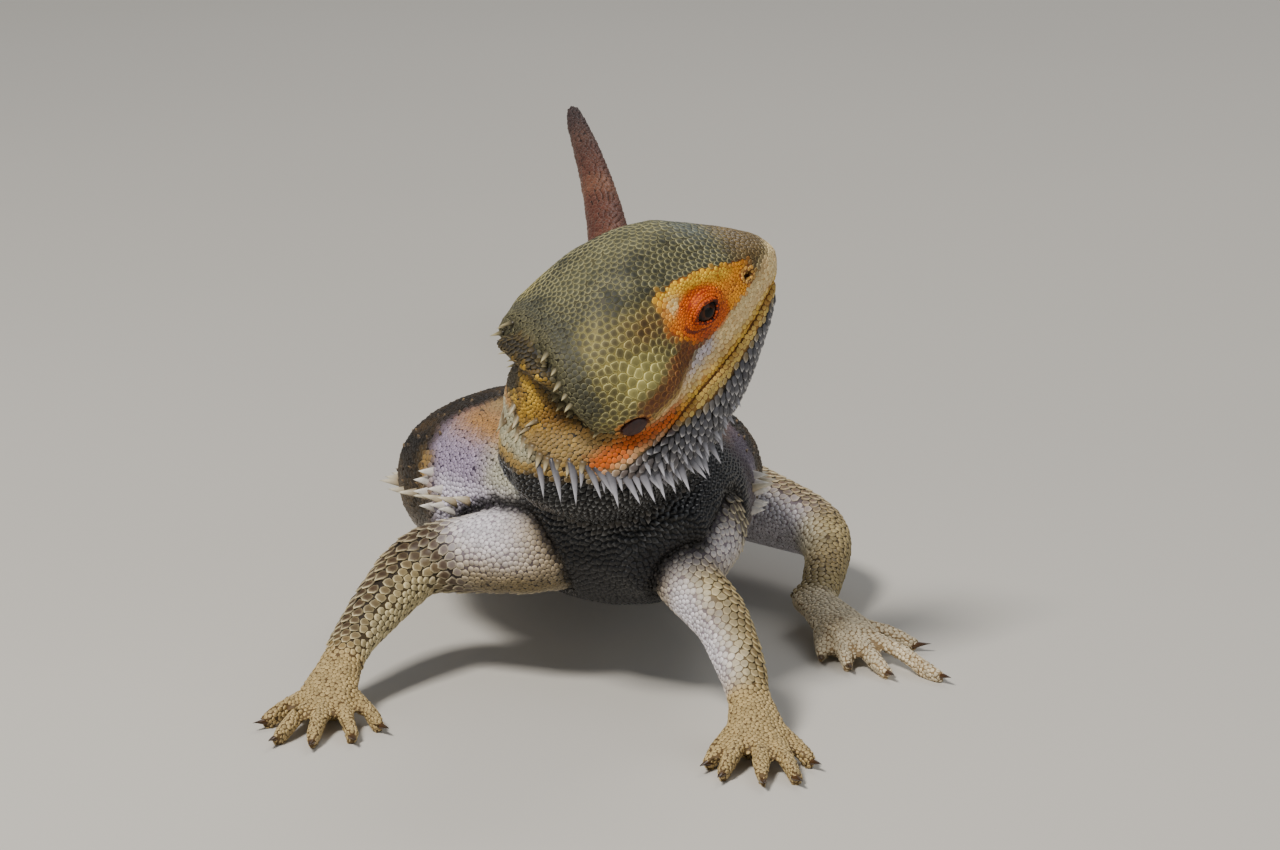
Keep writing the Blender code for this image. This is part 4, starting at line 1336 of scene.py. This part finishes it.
@dataclass
class ScaleCoat:
    """All scales of the body, each fitted to its neighbours and grown from the skin.

    A cell is the area of a hexagon as a share of its width squared. Tries is how many places
    are drawn for each scale that has room, and closeness the share of its size that stays free.
    """

    skin: Skin
    marks: Markings
    head: HeadFrame
    seed: int = 7
    tries: int = 5
    cell: float = 0.866
    closeness: float = 0.80
    rounds: int = 6
    sunk: float = 0.14 * MM
    longest_tip: float = 0.42 * MM
    centres: Array = None
    owner: Array = None
    roots: Array = None
    tree: BVHTree = None
    skin_kd: KDTree = None
    pinned: int = 0
    parts: tuple = (
        ("coat_head", "crown", ("head",)),
        ("coat_jaw", "jaw", ("lower_jaw",)),
        ("coat_beard", "beard", ("beard", "neck")),
        ("coat_trunk_front", "back", ("trunk_front",)),
        ("coat_trunk_rear", "back", ("trunk_rear", "hips")),
        ("coat_arms", "limb", ARMS),
        ("coat_legs", "limb", LEGS),
        ("coat_tail", "tail", ("tail_base", "tail_middle", "tail_tip")),
    )

    def build(self, finish: bpy.types.Material) -> None:
        """Places the scales and makes one piece of coat for each part of the body.

        Args:
            finish: material of the scales.
        """
        self.tree = BVHTree.FromObject(self.skin.obj, bpy.context.evaluated_depsgraph_get())
        self.skin_kd = search_tree(self.marks.points)
        self.find_roots()
        self.scatter()
        self.settle()
        ways = self.neighbours(12)
        for name, slot, nodes in self.parts:
            numbers = [self.skin.flesh.index(n) for n in nodes]
            mine = np.isin(self.marks.node[self.owner], numbers)
            piece = self.piece(name, np.flatnonzero(mine), ways)
            piece.data.materials.append(finish)
            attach(piece, "root")
            LOG.info("%s: %d scales, %d faces", name, mine.sum(), len(piece.data.polygons))

    def rows_of_lips(self) -> list[Vector]:
        """Middles of the scales that line the mouth, above and below.

        Returns:
            Places on the skin.
        """
        found = []
        for side in Side:
            for step in range(40):
                f = -1.0 - 1.05 * step
                mouth = float(self.head.line(self.head.mouth, np.array([f]))[0])
                for rise in (0.62, -0.62):
                    found.append(self.cast(f, mouth + rise, side))
        return [spot for spot in found if spot is not None]

    def cast(self, f: float, u: float, side: Side) -> Vector | None:
        """Point of the skin seen from the side at a place of the head, or None beside it."""
        way = -self.head.axes()[2] * side.value
        return self.tree.ray_cast(self.head.point(f, u, 40.0 * side.value), way)[0]

    def rings_of_lids(self) -> list[Vector]:
        """Middles of the small scales in rings round the slit of each eye.

        Returns:
            Places on the skin.
        """
        found = []
        for side in Side:
            centre, outward, lengthwise, across = self.skin.eye_axes(side)
            for level in (1.10, 1.34, 1.60, 1.86):
                count = int(2 * math.pi * level * 2.2 / 0.56)
                for k in range(count):
                    angle = 2 * math.pi * (k + 0.5 * (level > 1.3)) / count
                    c, s = math.cos(angle), math.sin(angle)
                    a = self.skin.aperture[0] * level * math.copysign(abs(c) ** (2 / LID_POWER), c)
                    b = self.skin.aperture[1] * level * math.copysign(abs(s) ** (2 / LID_POWER), s)
                    start = centre + (lengthwise * a + across * b + outward * 9) * MM
                    hit = self.tree.ray_cast(Vector(start), Vector(-outward))[0]
                    if hit is not None:
                        found.append(hit)
        return found

    def scatter(self) -> None:
        """Strews scale middles over the skin, no two nearer than their size allows."""
        mesh = self.skin.obj.data
        mesh.calc_loop_triangles()
        tris = np.empty(len(mesh.loop_triangles) * 3, np.int32)
        mesh.loop_triangles.foreach_get("vertices", tris)
        tris = tris.reshape(-1, 3)
        p = self.marks.points
        first, second = p[tris[:, 1]] - p[tris[:, 0]], p[tris[:, 2]] - p[tris[:, 0]]
        area = np.linalg.norm(np.cross(first, second), axis=1) / 2
        size = self.marks.size[tris].mean(axis=1) * MM
        for side in Side:
            level = self.skin.lid_level(p, side)
            area = np.where((level[tris] < 1.06).any(axis=1), 0, area)
        weight = area / (self.cell * size ** 2)
        rng = np.random.default_rng(self.seed)
        total = int(weight.sum() * self.tries)
        chosen = rng.choice(len(tris), total, p=weight / weight.sum())
        s, t = rng.random(total), rng.random(total)
        flip = s + t > 1
        s[flip], t[flip] = 1 - s[flip], 1 - t[flip]
        corners = p[tris[chosen]]
        spots = corners[:, 0] + (corners[:, 1] - corners[:, 0]) * s[:, None] \
            + (corners[:, 2] - corners[:, 0]) * t[:, None]
        fixed = self.rows_of_lips() + self.rings_of_lids()
        fixed = np.array([list(v) for v in fixed])
        spots = np.concatenate([fixed, spots])
        reach = np.concatenate([self.size_at(fixed), size[chosen]]) * self.closeness
        tree = search_tree(spots)
        taken = bytearray(len(spots))
        kept = []
        for i in range(len(spots)):
            if taken[i]:
                continue
            kept.append(i)
            for _, j, _ in tree.find_range(spots[i], reach[i]):
                taken[j] = 1
        self.pinned = sum(1 for i in kept if i < len(fixed))
        self.centres = spots[kept]

    def size_at(self, points: Array) -> Array:
        """Scale size in metres at each point."""
        return self.marks.size[self.nearest(points)] * MM

    def nearest(self, points: Array) -> Array:
        """Number of the skin point nearest to each place."""
        return np.array([self.skin_kd.find(p)[1] for p in points])

    def neighbours(self, count: int) -> Array:
        """Ways from every scale to those nearest to it.

        Args:
            count: how many for each.

        Returns:
            Vectors, one row of them per scale.
        """
        tree = search_tree(self.centres)
        rows = [[hit[1] for hit in tree.find_n(spot, count + 1)] for spot in self.centres]
        near = np.array(rows)[:, 1:]
        return self.centres[near] - self.centres[:, None]

    def settle(self) -> None:
        """Lets the scales push one another apart until they lie evenly, then finds their skin."""
        find = self.tree.find_nearest
        for _ in range(self.rounds):
            size = self.size_at(self.centres)
            ways = self.neighbours(8)
            reach = np.linalg.norm(ways, axis=2)
            push = np.maximum(0, 1 - reach / (1.12 * size[:, None]))
            move = -np.sum(ways / np.maximum(reach, 1e-9)[:, :, None] * push[:, :, None], axis=1)
            move *= size[:, None] * 0.55
            move[:self.pinned] = 0
            moved = self.centres + move
            self.centres = np.array([list(find(Vector(spot))[0]) for spot in moved])
        self.owner = self.nearest(self.centres)
        level = np.minimum(*(self.skin.lid_level(self.centres, side) for side in Side))
        keep = level > 1.03
        self.centres, self.owner = self.centres[keep], self.owner[keep]

    def piece(self, name: str, mine: Array, ways: Array) -> bpy.types.Object:
        """One piece of coat from the scales with the given numbers.

        Args:
            name: name of the piece.
            mine: numbers of the scales.
            ways: vectors from every scale to its neighbours.

        Returns:
            The piece, with its markings and its bake map.
        """
        marks = self.marks
        own = self.owner[mine]
        size = marks.size[own] * MM
        face = self.skin.on("head", "lower_jaw")[own] & (size > 0.75 * MM)
        large = face | (size > 1.45 * MM)
        blocks, groups, start = [], {}, 0
        for grade, chosen in ((Grade.PLAIN, ~large), (Grade.FINE, large)):
            rows = np.flatnonzero(chosen)
            if len(rows):
                places, faces, *paints = self.shapes(grade, mine[rows], own[rows], ways[mine[rows]])
                blocks.append((places, *paints))
                for face in faces:
                    groups.setdefault(face.shape[1], []).append(face + start)
                start += len(places)
        points, colours, spots = (np.concatenate(parts) for parts in zip(*blocks))
        points[:, 2] = np.maximum(points[:, 2], LOWEST)
        obj = mesh_object(name, points, [np.concatenate(group) for group in groups.values()])
        tint(obj.data, colours[:, :3], colours[:, 3])
        bake_map(obj.data, spots)
        return obj

    def shapes(self, grade: Grade, rows: Array, own: Array, ways: Array) -> tuple:
        """Points, faces, colours and bake places of many scales of one grade.

        Args:
            grade: how finely they are modelled.
            rows: numbers of the scales.
            own: number of the skin point under each.
            ways: vectors to the neighbours of each.

        Returns:
            Points, two arrays of faces, colours with roughness, and places on the unwrap.
        """
        sides, shoulder = grade.value
        marks = self.marks
        count = len(rows)
        rng = np.random.default_rng(self.seed + 1)
        normal = marks.normals[own]
        along = marks.flow[own]
        along = unit(along - normal * np.sum(along * normal, axis=1, keepdims=True))
        across = np.cross(normal, along)
        size = marks.size[own] * MM
        lift = marks.lift[own]
        angle = 2 * np.pi * np.arange(sides) / sides
        ux, uy = np.cos(angle), np.sin(angle)
        reach = np.minimum(self.room(ways, along, across, ux, uy), 0.72 * size[:, None]) * 0.95
        rear = np.maximum(0, ux)
        point = np.clip((lift - 0.08) * 5, 0, 1)[:, None]
        over = 1 + 1.2 * lift[:, None] * rear ** 2 + 0.30 * point * rear ** 8 - 0.10 * point * (1 - rear ** 4)
        tall = marks.rise[own] * size * (0.9 + 0.2 * rng.random(count))
        tip = np.minimum((0.9 * lift)[:, None] * rear ** 2 * size[:, None], self.longest_tip)
        base = self.centres[rows]

        def ring(radius: Array, height: Array) -> Array:
            """One loop of points round each scale."""
            flat = along[:, None] * (radius * ux)[:, :, None] + across[:, None] * (radius * uy)[:, :, None]
            return base[:, None] + flat + normal[:, None] * height[:, :, None]

        loops = [ring(reach * 1.01, np.full((count, sides), -self.sunk)),
                 ring(reach * over * 0.98, 0.50 * tall[:, None] + tip)]
        if shoulder:
            loops.append(ring(reach * over * (0.78 - 0.12 * point), 0.90 * tall[:, None] + 0.75 * tip))
        peak = base + along * (size * 0.9 * lift)[:, None] + normal * (tall + 0.55 * lift * size)[:, None]
        points = np.concatenate([*loops, peak[:, None]], axis=1)
        sharp = 2 + 60 * np.maximum(0, lift - 0.25)[:, None]
        vary = 1 + 0.40 * (rng.random((count, 1)) - 0.5)
        colours = self.colours(grade, own, point * (1 - rear ** sharp), vary)
        circle = np.stack([ux, uy], 1) * PATCH
        root = self.roots[own][:, None]
        patch = [root + circle * share for share in (1.0, 0.85, 0.5)[:len(loops)]]
        places = np.concatenate([*patch, root], axis=1)
        faces = self.faces_of(sides, len(loops), count)
        return points.reshape(-1, 3), faces, colours.reshape(-1, 4), places.reshape(-1, 2)

    @staticmethod
    def room(ways: Array, along: Array, across: Array, ux: Array, uy: Array) -> Array:
        """Finds how far each scale may reach before it meets a neighbour halfway.

        Args:
            ways: vectors to the neighbours of each scale.
            along: direction in which each scale points.
            across: sideways direction of each scale.
            ux: share of along in each direction of its outline.
            uy: share of across in each direction of its outline.

        Returns:
            One distance for each direction, one row per scale.
        """
        x = np.einsum("nkj,nj->nk", ways, along)
        y = np.einsum("nkj,nj->nk", ways, across)
        facing = x[:, :, None] * ux + y[:, :, None] * uy
        half = (x ** 2 + y ** 2)[:, :, None] / 2
        return np.where(facing > 1e-7, half / np.maximum(facing, 1e-7), 1.0).min(axis=1)

    @staticmethod
    def faces_of(sides: int, loops: int, count: int) -> list[Array]:
        """Joins the loops of points of each scale by quads, and the last to its middle by triangles.

        Args:
            sides: points in one loop.
            loops: loops in one scale, before the point in its middle.
            count: number of scales.

        Returns:
            The quads and the triangles.
        """
        one = np.arange(sides)
        nxt = (one + 1) % sides
        quads = [np.stack([k * sides + one, k * sides + nxt, (k + 1) * sides + nxt, (k + 1) * sides + one], 1)
                 for k in range(loops - 1)]
        last, each = (loops - 1) * sides, loops * sides + 1
        fan = np.stack([last + one, last + nxt, np.full(sides, each - 1)], 1)
        starts = (np.arange(count) * each)[:, None, None]
        return [(np.concatenate(quads)[None] + starts).reshape(-1, 4), (fan[None] + starts).reshape(-1, 3)]

    def colours(self, grade: Grade, own: Array, bare: Array, vary: Array) -> Array:
        """Colours the loops of each scale from the gap over the rim to the middle.

        Args:
            grade: how finely the scales are modelled.
            own: number of the skin point under each.
            bare: share of each place of the rim that has the middle's colour.
            vary: brightness of each scale.

        Returns:
            Colour and roughness of each point of each scale.
        """
        sides, shoulder = grade.value
        marks = self.marks
        centre, rim, gap = marks.centre[own] * vary, marks.rim[own] * vary, marks.gap[own]
        share = (1 - bare)[:, :, None]
        edging = centre[:, None] * (1 - share) + rim[:, None] * share
        layers = [np.repeat(gap[:, None], sides, 1), edging]
        if shoulder:
            layers.append(centre[:, None] * 0.86 + edging * 0.14)
        painted = np.concatenate([*layers, centre[:, None]], axis=1)
        rough = np.repeat(marks.rough[own][:, None, None], painted.shape[1], 1)
        return np.concatenate([painted, rough], axis=2)

    def find_roots(self) -> None:
        """Finds the place of every skin point on the skin's unwrap."""
        mesh = self.skin.obj.data
        flat = np.empty(len(mesh.loops) * 2)
        mesh.uv_layers["OFBake"].data.foreach_get("uv", flat)
        self.roots = np.zeros((len(mesh.vertices), 2))
        self.roots[corners_of(mesh)] = flat.reshape(-1, 2)


# ------------------------------------------------------------------ spines and claws


@dataclass(frozen=True)
class Needle:
    """Master of a spine or claw, one unit long, extruded from a ring and curved to one side.

    The root is the width of its first ring, as a share of its full width, and blunt that of its
    tip. The bend is in degrees. The buried share of its length lies under the skin.
    """

    sides: int = 7
    rings: int = 5
    bend: float = 25.0
    taper: float = 1.0
    root: float = 1.0
    blunt: float = 0.02
    buried: float = 0.12

    def build(self) -> tuple[Array, Array]:
        """Makes the master, reads it and removes it again.

        Returns:
            Its points and its triangles.
        """
        bpy.ops.object.select_all(action="DESELECT")
        bpy.ops.mesh.primitive_circle_add(vertices=self.sides, radius=0.5 * self.root, fill_type="NGON",
                                          location=(0, 0, -self.buried))
        obj = bpy.context.object
        bpy.ops.object.transform_apply(location=True, rotation=True, scale=True)
        bpy.ops.object.mode_set(mode="EDIT")
        x, z, tilt = 0.0, -self.buried, 0.0
        step = (1 + self.buried) / self.rings
        width = self.root
        for k in range(self.rings):
            tilt += math.radians(self.bend) / self.rings
            dx, dz = math.sin(tilt) * step, math.cos(tilt) * step
            bpy.ops.mesh.extrude_region_move(TRANSFORM_OT_translate={"value": (dx, 0, dz)})
            x, z = x + dx, z + dz
            aim = max((1 - (k + 1) / self.rings) ** self.taper, self.blunt)
            bpy.ops.transform.resize(value=(aim / width,) * 3, center_override=(x, 0, z))
            bpy.ops.transform.rotate(value=math.radians(self.bend) / self.rings, orient_axis="Y",
                                     center_override=(x, 0, z))
            width = aim
        bpy.ops.mesh.merge(type="CENTER")
        bpy.ops.mesh.select_all(action="SELECT")
        bpy.ops.mesh.quads_convert_to_tris()
        bpy.ops.mesh.normals_make_consistent(inside=False)
        bpy.ops.object.mode_set(mode="OBJECT")
        points = coordinates(obj.data)
        faces = np.array([list(p.vertices) for p in obj.data.polygons])
        bpy.data.objects.remove(obj)
        return points, faces


@dataclass
class Growth:
    """Many copies of one needle as one mesh, with a row of settings for each."""

    name: str
    slot: str
    needle: Needle
    rough: float = 0.3
    rows: list = field(default_factory=list)

    def add(self, base: Vector, way: Vector, droop: Vector, length: float, width: float,
            low: tuple, tip: tuple, flat: float = 1.0) -> None:
        """Adds one spine or claw.

        Args:
            base: middle of its root on the skin.
            way: direction it grows in.
            droop: direction its tip curves towards.
            length: length in metres.
            width: width of the root in metres.
            low: display colour of the root.
            tip: display colour of the tip.
            flat: thickness as a share of the width.
        """
        self.rows.append((base, way, droop, length, width, low, tip, flat))

    def build(self, finish: bpy.types.Material, coat: ScaleCoat) -> None:
        """Makes the joined mesh, coloured from root to tip, riding on the body.

        Args:
            finish: material of the mesh.
            coat: coat that knows the unwrap of the skin.
        """
        points, faces = self.needle.build()
        high = np.clip(points[:, 2:3] / max(points[:, 2].max(), 1e-6), 0, 1)
        all_points, all_colours, all_places = [], [], []
        owners = coat.nearest(np.array([list(row[0]) for row in self.rows]))
        for owner, (base, way, droop, length, width, low, tip, flat) in zip(owners, self.rows):
            z = way.normalized()
            x = (droop - z * droop.dot(z)).normalized()
            y = z.cross(x)
            turn = np.array([list(x), list(y), list(z)])
            size = np.array([width * flat, width, length])
            all_points.append((points * size) @ turn + np.array(base))
            all_colours.append(tone(*low) * (1 - high ** 1.3) + tone(*tip) * high ** 1.3)
            all_places.append(coat.roots[owner] + points[:, :2] * PATCH)
        count = len(self.rows)
        starts = (np.arange(count) * len(points))[:, None, None]
        all_points = np.concatenate(all_points)
        all_points[:, 2] = np.maximum(all_points[:, 2], LOWEST)
        obj = mesh_object(self.name, all_points, [(faces[None] + starts).reshape(-1, 3)])
        tint(obj.data, np.concatenate(all_colours), self.rough)
        bake_map(obj.data, np.concatenate(all_places))
        obj.data.materials.append(finish)
        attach(obj, "root")
        LOG.info("%s: %d of them, %d faces", self.name, count, len(obj.data.polygons))


@dataclass
class Armature:
    """The animal's spines and claws: beard, jowls, collar, flanks, back, root of the tail and toes.

    The main row of the beard holds forward and upward places on the head and the lengths, all in
    millimetres. The copies of it are rows of a shift up, a share of the length, a shift forward,
    and how far back the row reaches, on the left and on the right.
    """

    skin: Skin
    marks: Markings
    coat: ScaleCoat
    head: HeadFrame
    horn: bpy.types.Material
    claw: bpy.types.Material
    stud_gap: float = 4.4 * MM
    studs_behind: float = -127 * MM
    main: tuple = ((-63.2, -15.9, 9.2), (-61.0, -15.9, 10.0), (-58.2, -16.2, 9.0), (-55.4, -17.4, 7.8),
                   (-52.6, -18.6, 7.4), (-49.6, -19.6, 7.4), (-46.6, -20.4, 8.0), (-43.8, -21.8, 7.6),
                   (-41.0, -22.8, 7.2), (-38.0, -23.4, 7.0), (-35.0, -24.0, 7.0), (-32.2, -24.2, 6.8),
                   (-29.2, -24.0, 6.0), (-26.0, -23.2, 5.2), (-22.8, -22.0, 4.2), (-19.6, -20.2, 3.2))
    copies: tuple = ((0.0, 1.0, 0.0, (-57, -90)), (2.3, 0.60, 1.5, (-47, -47)),
                     (-2.0, 0.42, 1.4, (-57, -57)), (4.4, 0.42, 0.2, (-42, -42)),
                     (0.5, 0.74, -1.45, (-57, -57)))
    collar: tuple = ((-61.0, -7.5, -3.5), (-61.9, -9.4, -2.0), (-62.8, -11.2, 0.0), (-63.1, -11.6, 3.2),
                     (-63.1, -11.7, 6.5), (-62.8, -13.2, 8.6), (-61.9, -14.0, 9.9), (-60.4, -14.7, 11.4),
                     (-58.6, -15.2, 13.0), (-56.5, -15.4, 14.8))
    fringe: tuple = ((-37.1, -130.1, 40.2), (-38.0, -129.2, 38.0), (-38.0, -129.6, 35.6),
                     (-36.6, -131.9, 33.0), (-35.0, -134.4, 37.4), (-34.4, -135.2, 34.0),
                     (-32.6, -137.6, 33.6))

    def build(self) -> None:
        """Builds every growth."""
        self.beard()
        self.body()
        self.claws()

    def beard(self) -> None:
        """Pale-tipped spines: a main row along the black throat and four of shorter ones near it."""
        growth = Growth("beard_spines", "beard", Needle(8, 8, 46.0, 1.05, 0.8))
        forward, up, right = self.head.axes()
        rng = np.random.default_rng(3)
        for side in Side:
            outward = right * side.value
            for rise, share, spread, ends in self.copies:
                for f, u, length in self.main:
                    if f < ends[side is Side.RIGHT]:
                        continue
                    jog = 0.35 * (rng.random() - 0.5)
                    base = self.coat.cast(f + spread + jog, u + rise + jog, side)
                    if base is None:
                        continue
                    lean = 0.10 + 0.75 * float(ease(np.array([f]), -46, -60)[0])
                    sway = 0.55 * (rng.random() - 0.5)
                    way = outward * 0.8 - up * 0.62 - forward * (0.5 * lean + sway)
                    droop = -up - forward * (lean + sway) - outward * 0.1
                    tall = length * share * (0.76 + 0.42 * rng.random()) + 1.2
                    growth.add(base - way.normalized() * 1.5 * MM, way, droop, tall * MM,
                               (1.4 + 0.16 * tall) * MM, (66, 64, 69), (208, 206, 213), 0.6)
        growth.build(self.horn, self.coat)

    def body(self) -> None:
        """Small spines on jowls and collar, fringes on the flanks, and studs on the back."""
        growth = Growth("body_spines", "back", Needle(7, 4, 24.0, 1.0), 0.4)
        forward, up, right = self.head.axes()
        for spike in self.skin.spikes:
            if spike.node.startswith(("hand", "foot")) or spike.node in ("beard", "head"):
                continue
            way = spike.tip - spike.base
            growth.add(spike.base - way.normalized() * 0.7 * MM, way, Vector((0, 1, -0.4)),
                       way.length + 0.3 * MM, 2.5 * MM, (150, 134, 106), (240, 232, 210), 0.5)
        for side in Side:
            outward = right * side.value
            # Spines along the jowl's rear edge: near-black roots as painted shade, pale tips.
            for k in range(11):
                u = 12.0 - 2.15 * k
                base = self.coat.cast(float(self.head.jowl_edge(u)), u, side)
                self.stud(growth, base, outward * 0.5 - forward * 0.9, 3.4 - 0.9 * (k % 2),
                          (26, 22, 15), (206, 192, 146))
            for k, (f, u, r) in enumerate(self.collar):
                spot = self.head.point(f, u, r * side.value)
                self.stud(growth, self.coat.tree.find_nearest(spot)[0],
                          outward * 0.45 - forward * 0.8 - up * (0.2 + 0.08 * k), 3.3,
                          (92, 74, 46), (236, 222, 182))
            for spot in self.fringe:
                place = Vector((-1 + (spot[0] + 1) * side.value, spot[1], spot[2])) * MM
                base = self.coat.tree.find_nearest(place)[0]
                way = Vector((-0.85 * side.value, -0.25, 0.12))
                growth.add(base - way.normalized() * 0.8 * MM, way, Vector((0, 1, -0.2)), 4.2 * MM, 3.2 * MM,
                           (196, 188, 182), (248, 244, 234), 0.4)
        self.back_studs(growth)
        growth.build(self.horn, self.coat)

    def stud(self, growth: Growth, base: Vector | None, way: Vector, length: float,
             low: tuple, tip: tuple) -> None:
        """Adds one small spine at a place of the skin, if the place was found.

        Args:
            growth: growth it belongs to.
            base: place on the skin, or None.
            way: direction it grows in.
            length: length in millimetres.
            low: display colour of its root.
            tip: display colour of its tip.
        """
        if base is not None:
            growth.add(base - way.normalized() * 0.3 * MM, way, Vector((0, 0.3, -1)), length * MM,
                       (0.8 + 0.42 * length) * MM, low, tip, 0.65)

    def back_studs(self, growth: Growth) -> None:
        """Scatters larger keeled scales with raised points over back, flanks and root of the tail.

        Args:
            growth: growth they belong to.
        """
        marks = self.marks
        own = self.coat.owner
        back = self.skin.on("trunk_front", "trunk_rear", "hips", "tail_base")[own]
        back &= self.coat.centres[:, 1] > self.studs_behind
        rows = np.flatnonzero(back & (marks.normals[own][:, 2] > 0.05) & (marks.size[own] > 1.15))
        rng = np.random.default_rng(5)
        kept = []
        tree = search_tree(self.coat.centres[rows])
        taken = set()
        for i in rng.permutation(len(rows)):
            if i in taken:
                continue
            kept.append(rows[i])
            taken.update(hit[1] for hit in tree.find_range(self.coat.centres[rows[i]], self.stud_gap))
        for row in kept:
            normal = Vector(marks.normals[own[row]])
            way = normal * 0.55 + Vector(marks.flow[own[row]])
            shade = 0.7 + 0.6 * rng.random()
            low, tip = (tuple(int(part * shade) for part in colour)
                        for colour in ((60, 46, 32), (150, 122, 80)))
            self.stud(growth, Vector(self.coat.centres[row]), way, 1.7 + 0.5 * rng.random(), low, tip)

    def claws(self) -> None:
        """One curved dark claw on every toe."""
        growth = Growth("claws", "limb", Needle(10, 7, 48.0, 0.80), 0.24)
        for spike in self.skin.spikes:
            if not spike.node.startswith(("hand", "foot")):
                continue
            way = (spike.tip - spike.base).normalized()
            start = spike.base - way * 0.6 * MM
            tilt = (way + Vector((0, 0, 0.42))).normalized()
            growth.add(start, tilt, Vector((0, 0, -1)), 4.4 * MM, 1.7 * MM, (86, 60, 36), (30, 19, 12), 1.0)
        growth.build(self.claw, self.coat)


# ------------------------------------------------------------------ eyes and ears


@dataclass
class Eye:
    """One eyeball, set behind the slit of its lids."""

    skin: Skin
    side: Side

    def build(self) -> None:
        """Sets a smooth ball on the solid eye's place, looking outwards."""
        name = f"eye_{self.side.name.lower()}"
        low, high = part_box(name)
        centre, radius = (low + high) / 2, (high.x - low.x) / 2
        outward = Vector(self.skin.eye_axes(self.side)[1])
        bpy.ops.object.select_all(action="DESELECT")
        bpy.ops.mesh.primitive_uv_sphere_add(segments=48, ring_count=32, radius=radius, location=centre,
                                             rotation=outward.to_track_quat("Z", "Y").to_euler())
        ball = bpy.context.object
        bpy.ops.object.transform_apply(location=True, rotation=True, scale=True)
        bpy.ops.object.shade_smooth()
        ball.name = ball.data.name = f"eyeball_{self.side.name.lower()}"
        finish = EyeFinish(centre, outward, radius)
        ball.data.materials.append(finish.material(ball.name))
        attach(ball, "root")
        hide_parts(name)


@dataclass
class Eardrum:
    """The thin drum in the bottom of one ear opening."""

    side: Side
    finish: PlainFinish = PlainFinish("eardrum", (54, 18, 12), 0.38, 0.3, 1500.0)

    def build(self, frame: dict) -> None:
        """Gives the solid drum its moist dark red finish.

        Args:
            frame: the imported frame.
        """
        node = frame["nodes"][f"ear_{self.side.name.lower()}"]
        node.data.materials.clear()
        node.data.materials.append(self.finish.material())


# ------------------------------------------------------------------ studio


@dataclass
class Studio:
    """Pale floor, soft lights and the camera."""

    target: Vector = Vector((0.0069, -0.1490, 0.055))
    distance: float = 1.10
    elevation: float = 14.0
    lens: float = 150.0

    def build(self) -> None:
        """Sets up floor, sky, lights and camera."""
        self.floor()
        self.sky()
        self.light("key", (-0.50, -0.80, 1.10), 0.30, 20.0, (1.0, 0.96, 0.90))
        self.light("fill", (0.90, -0.85, 0.40), 0.8, 1.6, (0.92, 0.96, 1.0))
        self.light("rim", (0.35, 0.75, 0.95), 0.5, 3.2, (1.0, 0.98, 0.95))
        self.camera()

    def floor(self) -> None:
        """A wide level floor with a plain matt finish."""
        bpy.ops.object.select_all(action="DESELECT")
        bpy.ops.mesh.primitive_plane_add(size=12.0, location=(0, 0, 0))
        floor = bpy.context.object
        floor.name = "floor"
        floor.data.materials.append(PlainFinish("floor", (206, 202, 194), 0.9, 0.02, 3.0).material())

    def sky(self) -> None:
        """An even pale surround."""
        world = bpy.data.worlds.new("studio")
        bpy.context.scene.world = world
        world.use_nodes = True
        surround = world.node_tree.nodes["Background"]
        surround.inputs["Color"].default_value = (0.82, 0.86, 0.92, 1)
        surround.inputs["Strength"].default_value = 0.26

    def light(self, name: str, place: tuple, size: float, power: float, colour: tuple) -> None:
        """A square soft light that points at the animal's chest.

        Args:
            name: its name.
            place: its place in metres.
            size: its side in metres.
            power: its power in watts.
            colour: its colour.
        """
        bpy.ops.object.light_add(type="AREA", location=place)
        lamp = bpy.context.object
        lamp.name = name
        lamp.data.size = size
        lamp.data.energy = power
        lamp.data.color = colour
        lamp.rotation_euler = (self.target - Vector(place)).to_track_quat("-Z", "Y").to_euler()

    def camera(self) -> None:
        """The camera, a little above the animal and in front of it."""
        angle = math.radians(self.elevation)
        place = self.target + self.distance * Vector((0, -math.cos(angle), math.sin(angle)))
        bpy.ops.object.camera_add(location=place)
        camera = bpy.context.object
        camera.data.lens = self.lens
        camera.data.sensor_width = 36.0
        camera.data.clip_start = 0.05
        camera.rotation_euler = (self.target - place).to_track_quat("-Z", "Y").to_euler()
        bpy.context.scene.camera = camera


# ------------------------------------------------------------------ putting it together


def main() -> None:
    """Builds skin, markings, scales, spines, claws, eyes, ears and the studio, in that order."""
    logging.basicConfig(level=logging.INFO, format="%(relativeCreated)6d ms  %(message)s")
    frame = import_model()
    head = HeadFrame()
    skin = Skin(frame, head, FLESH)
    skin.build()
    LOG.info("skin: %d points, %d spikes noted", len(skin.obj.data.vertices), len(skin.spikes))
    marks = Markings(skin, head)
    marks.build()
    LOG.info("markings done")
    skin.obj.data.materials.append(ScaleFinish("skin").material())
    coat = ScaleCoat(skin, marks, head)
    coat.build(ScaleFinish("scales").material())
    LOG.info("scales: %d", len(coat.centres))
    horn = ScaleFinish("horn", relief=0.15).material()
    claw = ScaleFinish("claw", relief=0.10).material()
    Armature(skin, marks, coat, head, horn, claw).build()
    for side in Side:
        Eye(skin, side).build()
        Eardrum(side).build(frame)
    LOG.info("eyes and ears done")
    Studio().build()
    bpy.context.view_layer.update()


if __name__ == "__main__":
    main()
